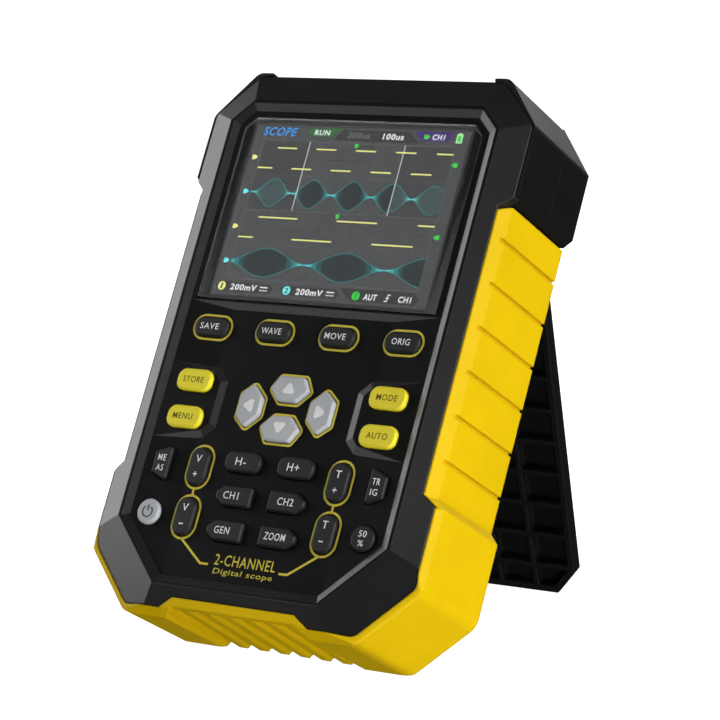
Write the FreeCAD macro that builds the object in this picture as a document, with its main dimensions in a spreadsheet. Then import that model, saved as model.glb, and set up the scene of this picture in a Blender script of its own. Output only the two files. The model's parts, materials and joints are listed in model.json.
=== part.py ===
"""Handheld oscilloscope leaning back on its open kick stand.

Every piece is drawn with the instrument's own face as its XY plane: X runs to the right, Y runs up the
face and Z comes out of it, with the middle of the display's grid at the origin. One tilt then leans the
whole instrument back and puts the surface that it stands on at Z = 0.
"""
import FreeCAD, Part
import Sketcher
import math
import os

DOC = FreeCAD.newDocument("handheld_oscilloscope")
SHEET = DOC.addObject("Spreadsheet::Sheet", "dims")

DIMENSIONS = [
    ("lean", 27.0, "angle by which the instrument leans back"),
    ("origin_back", 18.386, "how far the row's origin lies behind the display's middle, along the floor"),
    ("heel_land", 0.55, "height of the flat ground off the boot's heel"),
    ("floor_overrun", 200.0, "reach of the plane that grinds the feet flat"),
    # face of the instrument
    ("rim_half", 44.8, "half the width of the bezel"),
    ("rim_top", 35.8, "top edge of the bezel"),
    ("rim_bottom", 99.1, "bottom edge of the bezel, below the middle"),
    ("rim_top_leg", 10.6, "leg of the bezel's top corner chamfers"),
    ("rim_bottom_leg", 12.9, "leg of the bezel's bottom corner chamfers"),
    ("rim_round", 3.5, "radius on the bezel's outer corners"),
    ("rim_back", 4.5, "depth of the bezel's back edge"),
    ("waist_half", 41.8, "half the width of the bezel between the grips"),
    ("waist_top", 4.5, "upper end of the waist"),
    ("waist_top_step", 7.0, "where the bezel is wide again above the waist"),
    ("waist_bottom", 65.4, "lower end of the waist"),
    ("waist_bottom_step", 67.6, "where the bezel is wide again below the waist"),
    ("tuck_half", 17.0, "half the width of the raised middle of the bezel's bottom edge"),
    ("tuck_out", 20.7, "where the raised middle has run out"),
    ("tuck_bottom", 96.6, "bottom edge of the raised middle"),
    ("ridge_height", 0.6, "height of the ridge round the recess"),
    ("ridge_half", 38.0, "half the width of the ridge"),
    ("ridge_top", 28.2, "top of the ridge"),
    ("ridge_bottom", 94.1, "bottom of the ridge"),
    ("ridge_top_leg", 5.6, "leg of the ridge's top corners"),
    ("ridge_bottom_leg", 14.9, "leg of the ridge's bottom corners"),
    ("slope_run", 2.39, "how far the rim runs outward for each millimetre that it falls back"),
    ("slope_depth", 33.0, "depth over which the rim's slope is drawn"),
    ("panel_half", 35.35, "half the width of the recessed panel"),
    ("panel_top", 25.5, "top of the panel"),
    ("panel_bottom", 91.7, "bottom of the panel"),
    ("panel_top_leg", 3.7, "leg of the panel's top corners"),
    ("panel_bottom_leg", 13.3, "leg of the panel's bottom corners"),
    ("panel_level", 0.25, "depth of the panel round the display"),
    ("recess_run", 1.85, "width of the recess's sloping wall"),
    ("keys_level", 0.75, "depth of the panel between the keys"),
    ("fold_half", 22.5, "where the panel starts to rise towards its sides"),
    ("ledge_top", 24.0, "top of the ledge under the display"),
    ("ledge_run", 1.8, "width of the ledge under the display"),
    ("plate_back", 2.75, "depth of the panel's back"),
    ("pad_edge", 20.2, "inner edge of the raised pads round the side keys"),
    ("pad_middle", 49.3, "middle of the raised pads"),
    ("pad_half", 5.1, "half the length of a pad's inner edge"),
    ("pad_bevel", 1.9, "width of the pads' bevel"),
    ("pad_corner", 1.8, "size of the pads' cut corners"),
    ("pad_rise", 3.0, "how much further the pads' edges spread at the panel's side"),
    ("pad_over", 1.5, "how far the pads run into the recess's wall"),
    ("cavity_half", 39.0, "half the width of the hollow behind the bezel"),
    ("cavity_top", 32.8, "top of the hollow behind the bezel"),
    ("cavity_bottom", 93.5, "bottom of the hollow behind the bezel"),
    # display
    ("lens_half", 33.7, "half the width of the display's lens"),
    ("lens_top", 23.7, "top of the lens"),
    ("lens_bottom", 23.4, "bottom of the lens"),
    ("lens_leg", 2.7, "leg of the lens's cut top corners"),
    ("lens_thick", 0.7, "thickness of the lens"),
    ("seat_gap", 0.12, "gap round the lens"),
    ("adhesive", 0.15, "thickness of the adhesive under the lens"),
    ("adhesive_inset", 0.4, "how far the adhesive's edge lies inside the lens's"),
    ("adhesive_gap", 0.3, "how far the adhesive keeps clear of the window"),
    ("window_half", 30.5, "half the width of the display window"),
    ("window_high", 22.5, "half the height of the display window"),
    ("lcd_half", 30.2, "half the width of the liquid crystal panel"),
    ("lcd_high", 22.2, "half the height of the liquid crystal panel"),
    ("lcd_front", 0.75, "depth of the liquid crystal panel's face"),
    ("lcd_back", 2.0, "depth of the liquid crystal panel's back"),
    ("light_half", 34.6, "half the width of the backlight frame"),
    ("light_high", 25.1, "half the height of the backlight frame"),
    ("light_front", 2.8, "depth of the backlight frame's flange"),
    ("light_back", 5.0, "depth of the backlight frame's back"),
    # housings
    ("body_half", 45.6, "half the width of the housing's top"),
    ("body_top", 36.7, "top of the housing"),
    ("body_top_leg", 11.8, "leg of the housing's top corners, along its sides"),
    ("body_top_side", 9.8, "leg of the housing's top corners, along its top"),
    ("body_round", 3.0, "radius on the housing's corners"),
    ("cap_bottom", 6.2, "lower end of the housing's wide top"),
    ("cap_bevel", 2.0, "bevel at the lower end of the wide top"),
    ("body_bottom", 96.0, "bottom of the housing"),
    ("body_bottom_leg", 12.0, "leg of the housing's bottom corners"),
    ("lip_front", 2.4, "depth of the housing's lip round the bezel"),
    ("rim_gap", 0.15, "gap between the bezel and what surrounds it"),
    ("parting", 18.0, "depth of the line between the two housings"),
    ("bevel_front", 31.0, "depth where the back's bevel starts"),
    ("body_back", 34.4, "depth of the back"),
    ("back_inset", 3.0, "how far the back is smaller than the sides"),
    ("wall", 2.0, "thickness of the housings' walls"),
    # boot
    ("boot_half", 43.9, "half the width of the boot along the waist"),
    ("boot_foot_half", 46.2, "half the width of the boot's foot"),
    ("boot_top", 5.3, "top of the boot"),
    ("boot_step", 65.2, "where the boot starts to widen"),
    ("boot_bottom", 101.0, "bottom of the boot"),
    ("boot_leg", 13.8, "leg of the boot's bottom corners"),
    ("boot_round", 5.0, "radius on the boot's bottom corners"),
    ("boot_back", 30.4, "depth of the boot's back edge"),
    ("boot_proud", 0.25, "how far the boot stands proud of the bezel's slope"),
    ("boot_edge", 4.4, "depth where the bevel round the boot's front ends"),
    ("boot_bevel_run", 0.57, "how far that bevel runs outward for each millimetre that it falls back"),
    ("boot_gap", 0.05, "gap between the boot and the housings"),
    ("groove_first", 3.0, "place of the first grip groove"),
    ("groove_pitch", 10.72, "distance between grip grooves"),
    ("groove_wide", 0.9, "width of a grip groove"),
    ("groove_deep", 0.7, "depth of a grip groove"),
    ("scoop_pitch", 5.9, "distance between the scoops under the boot"),
    ("scoop_radius", 1.7, "radius of the scoops under the boot"),
    ("scoop_low", 0.45, "how far the scoops' axes lie under the raised middle of the sole"),
    ("scoop_front", 3.1, "depth where the scoops begin"),
    ("scoop_tilt", 3.0, "angle by which the raised middle of the sole rises towards the front"),
    ("arch_half", 20.6, "half the width of the raised middle of the sole"),
    ("arch_front", 98.6, "raised middle of the sole at its front"),
    ("arch_back", 100.3, "raised middle of the sole at its back"),
    ("arch_back_in", 1.0, "how much narrower it is there at the top of its sides"),
    ("arch_back_out", 4.5, "how much wider it is there at the bottom of its sides"),
    ("arch_front_in", 4.0, "how much narrower it is at its front, at the top of its sides"),
    ("arch_front_out", 4.0, "how much wider it is at its front, at the bottom of its sides"),
    # keys
    ("key_top", 0.5, "height of the dark keys' tops"),
    ("side_key_top", 0.9, "height of the yellow keys' tops"),
    ("key_bevel", 0.4, "bevel round a key's top"),
    ("key_gap", 0.2, "gap round a key in the panel"),
    ("flange_out", 0.55, "how far a key's flange reaches under the panel"),
    ("flange_gap", 0.05, "gap between a key's flange and the panel"),
    ("flange_thick", 0.7, "thickness of a key's flange"),
    ("stem_in", 0.3, "how far a key's stem is smaller than its cap"),
    ("stem_gap", 0.35, "gap round a key's stem in the mat"),
    ("mat_front", 5.5, "depth of the mat's front"),
    ("mat_half", 34.0, "half the width of the mat"),
    ("mat_top", 27.0, "top of the mat"),
    ("mat_bottom", 86.0, "bottom of the mat"),
    ("mat_leg", 9.0, "leg of the mat's bottom corners"),
    ("mat_top_leg", 2.0, "leg of the mat's top corners"),
    ("soft_round", 2.2, "radius on a soft key's corners"),
    ("side_round", 2.2, "radius on a yellow key's corners"),
    ("scale_round", 2.4, "radius on a scale key's corners"),
    ("middle_round", 2.1, "radius on a time key's corners"),
    ("point_round", 0.6, "radius on a channel key's corners"),
    ("arrow_round", 0.8, "radius on an arrow key's corners"),
    ("wedge_round", 0.7, "radius on a wedge key's corners"),
    ("soft_row", 30.7, "row of the soft keys"),
    ("soft_near", 9.0, "inner columns of the soft keys"),
    ("soft_far", 26.9, "outer columns of the soft keys"),
    ("soft_half", 4.75, "half the width of a soft key"),
    ("soft_high", 2.45, "half the height of a soft key"),
    ("side_column", 27.2, "column of the yellow keys"),
    ("side_upper", 44.4, "upper row of the yellow keys"),
    ("side_lower", 53.6, "lower row of the yellow keys"),
    ("side_half", 4.9, "half the width of a yellow key"),
    ("side_high", 2.7, "half the height of a yellow key"),
    ("arrow_middle", 49.25, "middle of the arrow keys"),
    ("tall_near", 1.75, "upright arrow key: near edge from the middle"),
    ("tall_wide", 4.65, "upright arrow key: widest line from the middle"),
    ("tall_far", 7.95, "upright arrow key: far edge from the middle"),
    ("tall_near_half", 2.45, "upright arrow key: half its near edge"),
    ("tall_wide_half", 5.45, "upright arrow key: half its widest line"),
    ("tall_far_half", 3.4, "upright arrow key: half its far edge"),
    ("flat_near", 6.75, "sideways arrow key: near edge from the middle"),
    ("flat_wide", 10.1, "sideways arrow key: widest line from the middle"),
    ("flat_far", 13.15, "sideways arrow key: far edge from the middle"),
    ("flat_near_half", 2.15, "sideways arrow key: half its near edge"),
    ("flat_wide_half", 5.4, "sideways arrow key: half its widest line"),
    ("flat_far_half", 2.8, "sideways arrow key: half its far edge"),
    ("wedge_row", 65.2, "row of the wedge keys"),
    ("wedge_inner", 27.9, "inner edge of the wedge keys"),
    ("wedge_outer", 32.5, "outer edge of the wedge keys"),
    ("wedge_inner_half", 4.4, "half the length of a wedge key's inner edge"),
    ("wedge_outer_half", 2.6, "half the length of a wedge key's outer edge"),
    ("round_row", 77.4, "row of the round keys"),
    ("round_column", 30.0, "column of the round keys"),
    ("round_radius", 3.1, "radius of the round keys"),
    ("scale_column", 19.6, "column of the upright scale keys"),
    ("scale_upper", 65.15, "upper row of the scale keys"),
    ("scale_lower", 77.4, "lower row of the scale keys"),
    ("scale_half", 2.65, "half the width of a scale key"),
    ("scale_high", 4.6, "half the height of a scale key"),
    ("middle_column", 7.4, "columns of the middle keys"),
    ("time_row", 63.0, "row of the time keys"),
    ("channel_row", 71.3, "row of the channel keys"),
    ("extra_row", 79.7, "row under the channel keys"),
    ("middle_half", 4.95, "half the width of a middle key"),
    ("middle_high", 2.45, "half the height of a middle key"),
    ("point_run", 2.4, "length of a channel key's point"),
    ("point_blunt", 0.3, "width of a channel key's tip, as a share of the key's"),
    # board
    ("board_front", 6.5, "depth of the board's front"),
    ("board_back", 8.1, "depth of the board's back"),
    ("board_half", 39.2, "half the width of the board"),
    ("board_top", 24.2, "top of the board"),
    ("board_top_leg", 8.0, "leg of the board's top corners"),
    ("board_bottom", 92.0, "bottom of the board"),
    ("board_bottom_leg", 19.5, "leg of the board's bottom corners"),
    ("flex_half", 12.0, "half the width of the display's flexible lead"),
    ("flex_thick", 0.2, "thickness of the display's flexible lead"),
    ("can_column", 21.5, "columns of the screening cans"),
    ("can_half", 12.5, "half the width of a screening can"),
    ("can_top", 13.0, "top of a screening can"),
    ("can_bottom", 11.0, "bottom of a screening can, below the middle"),
    ("can_thick", 3.5, "thickness of a screening can"),
    ("can_sheet", 0.3, "thickness of a can's sheet metal"),

    ("flex_out", 1.3, "how far the lead's fold stands out past the backlight"),
    ("flex_corner", 0.3, "size of the fold's corners"),
    ("flex_above", 0.9, "how far the lead starts in front of the backlight's back"),
    ("flex_below", 0.5, "how far the lead ends in front of the board"),
    ("flex_end", 12.0, "where the lead ends, below the middle"),
    ("flex_plug_side", 1.0, "how far the lead's connector is wider than the lead, on each side"),
    ("flex_plug_long", 4.5, "length of the lead's connector"),
    ("flex_plug_thick", 1.1, "thickness of the lead's connector"),
    ("foam_column", 23.0, "columns of the foam pads"),
    ("foam_row", 15.0, "rows of the foam pads, above and below the middle"),
    ("foam_half", 8.0, "half the length of a foam pad"),
    ("foam_high", 2.0, "half the width of a foam pad"),
    ("tab_gap", 0.5, "gap between the board's tab and the housing's wall"),
    ("tab_short", 0.3, "how far the tab's lower edge lies above the charging socket's"),
    ("board_hole", 1.1, "radius of the board's screw holes"),
    ("buzzer_row", 84.0, "row of the buzzer"),
    ("buzzer_radius", 5.0, "radius of the buzzer"),
    ("buzzer_thick", 4.0, "thickness of the buzzer"),
    ("buzzer_port", 1.0, "radius of the buzzer's opening"),
    ("buzzer_port_deep", 0.8, "depth of the buzzer's opening"),
    # fixings
    ("boss_column", 39.3, "columns of the upper case screws"),
    ("boss_row", 21.5, "row of the upper case screws"),
    ("boss_low_column", 31.8, "columns of the lower case screws"),
    ("boss_low_row", 85.0, "row of the lower case screws"),
    ("boss_radius", 2.9, "radius of a screw boss"),
    ("boss_end", 14.0, "depth of a boss's end"),
    ("post_radius", 3.2, "radius of a rear screw post"),
    ("insert_radius", 1.8, "radius of a threaded insert"),
    ("insert_long", 5.0, "length of a threaded insert"),
    ("screw_radius", 1.25, "radius of a case screw"),
    ("screw_tip", 9.5, "depth of a case screw's tip"),
    ("head_radius", 2.3, "radius of a case screw's head"),
    ("head_thick", 1.6, "thickness of a case screw's head"),
    ("head_seat", 31.2, "depth of the case screws' seat"),
    ("stud_column", 36.6, "columns of the board screws"),
    ("stud_upper", 30.0, "upper row of the board screws"),
    ("stud_lower", 72.0, "lower row of the board screws"),
    ("stud_radius", 2.1, "radius of a board stud"),
    ("pilot_radius", 0.95, "radius of the hole in a board stud"),
    ("pilot_stop", 0.4, "thickness left between that hole and the panel's back"),
    ("insert_room", 0.5, "depth of a boss's hole past its insert"),
    ("fit_gap", 0.02, "clearance round pieces that are pressed or screwed in"),
    ("screw_gap", 0.15, "clearance round a case screw in the back"),
    ("sink_gap", 0.3, "clearance round a case screw's head"),
    ("post_sunk", 1.0, "how far a rear post starts inside the back"),
    ("post_gap", 0.05, "gap between a rear post and its boss"),
    ("key_across", 1.1, "half the distance across the flats of a case screw's socket"),
    ("key_deep", 0.9, "depth of a case screw's socket"),
    ("small_radius", 0.9, "radius of a board screw"),
    ("small_long", 4.0, "length of a board screw under its head"),
    ("small_head", 1.7, "radius of a board screw's head"),
    ("small_head_thick", 1.2, "thickness of a board screw's head"),
    # connectors
    ("bay_half", 30.0, "half the width of the connector bay"),
    ("bay_front", 6.05, "depth of the bay's front wall"),
    ("bay_back", 28.0, "depth of the bay's back wall"),
    ("bay_floor", 27.8, "height of the bay's floor"),
    ("bay_wall", 1.5, "thickness of the bay's walls"),
    ("bay_top", 35.6, "height of the bay's edge"),
    ("bay_gap", 0.1, "gap between the bay and the housings"),
    ("rail_low", 33.0, "lower face of the rail round the bay"),
    ("rail_high", 34.6, "upper face of the rail round the bay"),
    ("rail_side", 1.6, "reach of the rail at the bay's sides"),
    ("rail_back", 1.5, "reach of the rail at the bay's back"),
    ("jack_pitch", 20.0, "distance between the signal jacks"),
    ("jack_depth", 17.0, "depth of the signal jacks' axes"),
    ("jack_tip", 38.3, "height of the signal jacks' tips"),
    ("jack_barrel", 4.8, "outer radius of a jack's barrel"),
    ("jack_bore", 4.05, "inner radius of a jack's barrel"),
    ("jack_flange", 7.2, "radius of a jack's flange"),
    ("jack_thread", 6.2, "radius of a jack's thread"),
    ("jack_end", 20.3, "lower end of a jack's thread"),
    ("jack_gap", 0.05, "gap round a jack's thread in the bay's floor"),
    ("flange_high", 1.5, "thickness of a jack's flange"),
    ("mouth_floor", 1.0, "thickness of a jack's metal over its flange, under the open mouth"),
    ("lug_reach", 5.55, "reach of a jack's bayonet lugs"),
    ("lug_radius", 0.95, "radius of a bayonet lug"),
    ("lug_height", 34.6, "height of the bayonet lugs"),
    ("insulator", 2.5, "radius of a jack's insulator"),
    ("insulator_short", 1.2, "how far an insulator's top lies under the jack's tip"),
    ("contact", 0.7, "radius of a jack's contact"),
    ("contact_short", 2.0, "how far a contact's top lies under the jack's tip"),
    ("contact_bore", 0.45, "radius of a contact's bore"),
    ("contact_deep", 8.0, "depth of a contact's bore under the jack's tip"),
    ("contact_out", 2.8, "how far a contact reaches past the jack's lower end"),
    ("lead_up", 1.2, "how far its lead to the board stands above the contact's end"),
    ("lead_thin", 0.2, "how much smaller the lead's radius is than the contact's"),
    ("nut_across", 7.0, "half the distance across a nut's flats"),
    ("nut_thick", 2.5, "thickness of a nut"),
    ("socket_row", 13.2, "height of the charging socket"),
    ("socket_half", 4.47, "half the width of the charging socket"),
    ("socket_thick", 3.2, "thickness of the charging socket"),
    ("socket_face", 45.4, "outer face of the charging socket"),
    ("socket_long", 7.3, "length of the charging socket"),
    ("socket_metal", 0.32, "thickness of the charging socket's shell"),
    ("socket_end", 1.2, "thickness of the charging socket's closed end"),
    ("tongue_in", 0.9, "how far the socket's tongue lies inside its mouth"),
    ("tongue_side", 1.15, "distance from the tongue's edges to the shell's outside"),
    ("tongue_half", 0.35, "half the thickness of the tongue"),
    ("port_gap", 0.25, "gap round the charging socket in the housing"),
    # battery
    ("battery_half", 22.0, "half the width of the battery"),
    ("battery_top", 13.0, "top of the battery, below the middle"),
    ("battery_bottom", 75.0, "bottom of the battery"),
    ("battery_front", 19.5, "depth of the battery's front"),
    ("battery_back", 27.7, "depth of the battery's back"),
    ("battery_round", 2.0, "radius on the battery's corners"),
    ("tape_side", 5.0, "distance from the battery's sides to its pad"),
    ("tape_end", 8.0, "distance from the battery's ends to its pad"),
    ("wire_radius", 0.6, "radius of a battery wire"),
    ("wire_apart", 1.3, "half the distance between the battery wires"),
    ("wire_level", 23.0, "depth where the wires leave the battery"),
    ("wire_row", 10.0, "row where the wires turn towards the board"),
    ("plug_thick", 3.0, "thickness of the battery's connector"),
    ("plug_half", 4.0, "half the width of the battery's connector"),
    ("plug_high", 2.5, "half the height of the battery's connector"),
    # stand
    ("stand_open", 47.4, "angle between the open stand and the back"),
    ("pivot_up", 22.0, "height of the stand's hinge"),
    ("pivot_deep", 32.0, "depth of the stand's hinge"),
    ("stand_half", 22.6, "half the width of the stand at its cut corners"),
    ("stand_flare", 0.075, "how far its edges run outward for each millimetre towards its hinge"),
    ("stand_straight", 6.0, "length below its hinge over which its edges are parallel"),
    ("stand_inner", 1.6, "stand's inner face from its hinge"),
    ("stand_outer", 1.9, "stand's outer face from its hinge"),
    ("stand_skin", 1.2, "thickness of the stand's plate between its ribs"),
    ("stand_heel", 3.6, "length of the stand past its hinge"),
    ("stand_toe", 118.0, "length of the stand before its foot is ground flat"),
    ("toe_leg", 9.5, "length of the stand's cut corners before its foot is ground flat"),
    ("toe_cut", 8.5, "width of the stand's cut corners before its foot is ground flat"),
    ("rib_wide", 1.2, "width of the stand's ribs"),
    ("rib_pitch", 9.2, "distance between the stand's cross ribs"),
    ("rib_first", 116.4, "distance from the hinge to the ribs' first line"),
    ("rib_foot", 114.0, "distance from the hinge to the rib at the stand's foot"),
    ("rib_margin", 0.9, "distance from the outer ribs' middle to the stand's edge"),
    ("rib_short", 4.675, "how much narrower the outer hollows are at the stand's foot"),
    ("recess_side", 0.8, "gap beside the stand in its recess"),
    ("recess_floor", 30.2, "depth of the recess's floor"),
    ("well_radius", 4.3, "radius of the hollow round the hinge"),
    ("pin_radius", 1.0, "radius of the hinge pin"),
    ("pin_half", 33.5, "half the length of the hinge pin"),
    ("pin_run", 0.05, "running clearance round the hinge pin"),
    ("pin_room", 0.1, "clearance at each end of the hinge pin"),
    ("barrel_gap", 0.2, "gap round the stand's rounded heel"),
    ("hinge_side", 2.5, "how far the hinge's blocks reach past the pin"),
    ("hinge_below", 6.5, "reach of the hinge's lower block below the pin"),
    ("hinge_above", 7.5, "reach of the hinge's upper block above the pin"),
    ("hinge_front", 25.8, "depth where the hinge's lower block starts"),
    ("shelf_gap", 0.2, "gap between the bay's floor and the hinge's lower block"),
]

for row, (alias, number, note) in enumerate(DIMENSIONS, start=1):
    SHEET.set("A%d" % row, note)
    SHEET.set("B%d" % row, repr(number))
    SHEET.setAlias("B%d" % row, alias)
DOC.recompute()


class Size:
    """A length that carries its number and the formula that works it out from the sheet."""

    def __init__(self, number, formula):
        self.number = number
        self.formula = formula

    def __add__(self, other):
        other = size(other)
        return Size(self.number + other.number, "(%s + %s)" % (self.formula, other.formula))

    def __sub__(self, other):
        other = size(other)
        return Size(self.number - other.number, "(%s - %s)" % (self.formula, other.formula))

    def __mul__(self, other):
        other = size(other)
        return Size(self.number * other.number, "(%s * %s)" % (self.formula, other.formula))

    def __neg__(self):
        return Size(-self.number, "(0 - %s)" % self.formula)


def size(thing):
    """A Size from a Size, the name of a cell, or a plain number."""
    if isinstance(thing, Size):
        return thing
    if isinstance(thing, str):
        return Size(float(getattr(SHEET, thing)), "dims.%s" % thing)
    return Size(float(thing), "(%.9g)" % thing)


def sizes(*things):
    return tuple(size(thing) for thing in things)


def cosine(cell):
    return Size(math.cos(math.radians(size(cell).number)), "cos(dims.%s)" % cell)


def sine(cell):
    return Size(math.sin(math.radians(size(cell).number)), "sin(dims.%s)" % cell)


# Outlines: lists of corners, each a pair of Sizes.

def both_sides(right):
    """A symmetrical outline from its right side, listed from top to bottom."""
    return right + [(-x, y) for x, y in reversed(right)]


def octagon(half, top, bottom, top_leg, bottom_leg):
    half, top, bottom, top_leg, bottom_leg = sizes(half, top, bottom, top_leg, bottom_leg)
    return both_sides([
        (half - top_leg, top),
        (half, top - top_leg),
        (half, bottom_leg - bottom),
        (half - bottom_leg, -bottom),
    ])


def rectangle(left, right, low, high):
    left, right, low, high = sizes(left, right, low, high)
    return [(left, high), (right, high), (right, low), (left, low)]


def oblong(x, y, half, high):
    x, y, half, high = sizes(x, y, half, high)
    return rectangle(x - half, x + half, y - high, y + high)


def grown(outline, amount):
    """The outline with every edge moved outward by amount, or inward where amount is negative."""
    amount = size(amount)
    corners = [(x.number, y.number) for x, y in outline]
    count = len(corners)
    area = sum(
        corners[i][0] * corners[(i + 1) % count][1] - corners[(i + 1) % count][0] * corners[i][1]
        for i in range(count)
    )
    turn = -1.0 if area < 0 else 1.0
    normals = []
    for i in range(count):
        along_x = corners[(i + 1) % count][0] - corners[i][0]
        along_y = corners[(i + 1) % count][1] - corners[i][1]
        length = math.hypot(along_x, along_y)
        normals.append((turn * along_y / length, -turn * along_x / length))
    result = []
    for i, (x, y) in enumerate(outline):
        before, after = normals[i - 1], normals[i]
        share = 1.0 + before[0] * after[0] + before[1] * after[1]
        result.append((
            x + amount * ((before[0] + after[0]) / share),
            y + amount * ((before[1] + after[1]) / share),
        ))
    return result


# Features.

def plane_of(body, role):
    for feature in body.Origin.OriginFeatures:
        if feature.Role == role:
            return feature
    raise ValueError("no plane named " + role)


def hold(sketch, kind, geometry, point, distance):
    """Sets a point of the sketch at a distance from its origin that follows the sheet."""
    index = sketch.addConstraint(
        Sketcher.Constraint(kind, -1, 1, geometry, point, distance.number)
    )
    sketch.setExpression("Constraints[%d]" % index, distance.formula)


def draw(sketch, outline):
    first = sketch.GeometryCount
    corners = [FreeCAD.Vector(x.number, y.number, 0) for x, y in outline]
    count = len(corners)
    for i in range(count):
        sketch.addGeometry(Part.LineSegment(corners[i], corners[(i + 1) % count]), False)
    for i in range(count):
        sketch.addConstraint(
            Sketcher.Constraint("Coincident", first + i, 2, first + (i + 1) % count, 1)
        )
    for i, (x, y) in enumerate(outline):
        hold(sketch, "DistanceX", first + i, 1, x)
        hold(sketch, "DistanceY", first + i, 1, y)


def new_body(name):
    return DOC.addObject("PartDesign::Body", name)


def new_sketch(body, name, level, role="XY_Plane"):
    sketch = body.newObject("Sketcher::SketchObject", name)
    sketch.AttachmentSupport = (plane_of(body, role), [""])
    sketch.MapMode = "FlatFace"
    sketch.setExpression("AttachmentOffset.Base.z", size(level).formula)
    return sketch


def add_pad(body, name, outline, low, high, role="XY_Plane"):
    low, high = sizes(low, high)
    sketch = new_sketch(body, name + "_sketch", low, role)
    draw(sketch, outline)
    pad = body.newObject("PartDesign::Pad", name)
    pad.Profile = sketch
    pad.setExpression("Length", (high - low).formula)
    body.Tip = pad
    return pad


def upright_edges(shape, chosen=None):
    """Names of the straight edges along Z, all of them or those that chosen(x, y) keeps."""
    names = []
    for number, edge in enumerate(shape.Edges, start=1):
        start, end = edge.Vertexes[0].Point, edge.Vertexes[-1].Point
        level = math.hypot(end.x - start.x, end.y - start.y) < 1e-6
        if level and abs(end.z - start.z) > 1e-6 and (chosen is None or chosen(start.x, start.y)):
            names.append("Edge%d" % number)
    return names


def round_uprights(body, name, radius, chosen=None):
    DOC.recompute()
    base = body.Tip
    fillet = body.newObject("PartDesign::Fillet", name)
    fillet.Base = (base, upright_edges(base.Shape, chosen))
    fillet.setExpression("Radius", size(radius).formula)
    body.Tip = fillet
    return fillet


def prism(name, outline, low, high, radius=None, chosen=None, role="XY_Plane"):
    """A body padded from an outline between two levels, with its upright edges rounded if asked."""
    body = new_body(name)
    add_pad(body, name + "_pad", outline, low, high, role)
    if radius is not None:
        round_uprights(body, name + "_round", radius, chosen)
    return body


def taper(name, low_outline, low, high_outline, high):
    """A body lofted straight between two outlines with the same number of corners."""
    body = new_body(name)
    low_sketch = new_sketch(body, name + "_low", low)
    draw(low_sketch, low_outline)
    high_sketch = new_sketch(body, name + "_high", high)
    draw(high_sketch, high_outline)
    loft = body.newObject("PartDesign::AdditiveLoft", name + "_loft")
    loft.Profile = low_sketch
    loft.Sections = [high_sketch]
    loft.Ruled = True
    body.Tip = loft
    return body


def place(thing, x, y, z):
    for letter, distance in zip("xyz", sizes(x, y, z)):
        thing.setExpression("Placement.Base." + letter, distance.formula)
    return thing


def block(name, left, right, low, high, back, front):
    left, right, low, high, back, front = sizes(left, right, low, high, back, front)
    box = DOC.addObject("Part::Box", name)
    box.setExpression("Length", (right - left).formula)
    box.setExpression("Width", (high - low).formula)
    box.setExpression("Height", (front - back).formula)
    return place(box, left, low, back)


TURNS = {
    "x": FreeCAD.Rotation(FreeCAD.Vector(0, 1, 0), 90),
    "y": FreeCAD.Rotation(FreeCAD.Vector(1, 0, 0), -90),
    "z": FreeCAD.Rotation(),
}


def rod(name, x, y, z, radius, length, axis="z"):
    """A cylinder that starts at a point and runs along an axis."""
    cylinder = DOC.addObject("Part::Cylinder", name)
    cylinder.Placement = FreeCAD.Placement(FreeCAD.Vector(), TURNS[axis])
    cylinder.setExpression("Radius", size(radius).formula)
    cylinder.setExpression("Height", size(length).formula)
    return place(cylinder, x, y, z)


def fuse(name, things):
    if len(things) == 1:
        return things[0]
    result = DOC.addObject("Part::MultiFuse", name)
    result.Shapes = things
    return result


def cut(name, base, things):
    result = DOC.addObject("Part::Cut", name)
    result.Base = base
    result.Tool = fuse(name + "_tools", things)
    return result


def overlap(name, things):
    result = DOC.addObject("Part::MultiCommon", name)
    result.Shapes = things
    return result


# The tilt that leans the instrument back, and the sub-parts that it moves.

FLOOR = (
    size("boot_bottom") * cosine("lean")
    + size("boot_back") * sine("lean")
    - size("heel_land")
)
NODES = {}


def node(label, thing):
    """Makes a sub-part of the finished instrument: its name, and its place on the floor."""
    thing.Label = label
    thing.Placement = FreeCAD.Placement(
        FreeCAD.Vector(), FreeCAD.Rotation(FreeCAD.Vector(1, 0, 0), 90 - size("lean").number)
    )
    thing.setExpression("Placement.Rotation.Angle", "90 - dims.lean")
    place(thing, 0, -size("origin_back"), FLOOR)
    NODES[label] = thing
    return thing


def floor_cutter(name):
    """A slab whose top is the floor, placed in the tilted instrument's own frame."""
    reach = size("floor_overrun")
    slab = DOC.addObject("Part::Box", name)
    slab.setExpression("Length", reach.formula)
    slab.setExpression("Width", (reach * 2).formula)
    slab.setExpression("Height", reach.formula)
    slab.Placement = FreeCAD.Placement(
        FreeCAD.Vector(), FreeCAD.Rotation(FreeCAD.Vector(1, 0, 0), size("lean").number - 90)
    )
    slab.setExpression("Placement.Rotation.Angle", "dims.lean - 90")
    behind = size("origin_back") - reach
    under = -reach - FLOOR
    return place(
        slab,
        -reach * 0.5,
        behind * sine("lean") + under * cosine("lean"),
        under * sine("lean") - behind * cosine("lean"),
    )


# Outlines that several sub-parts share.

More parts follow.
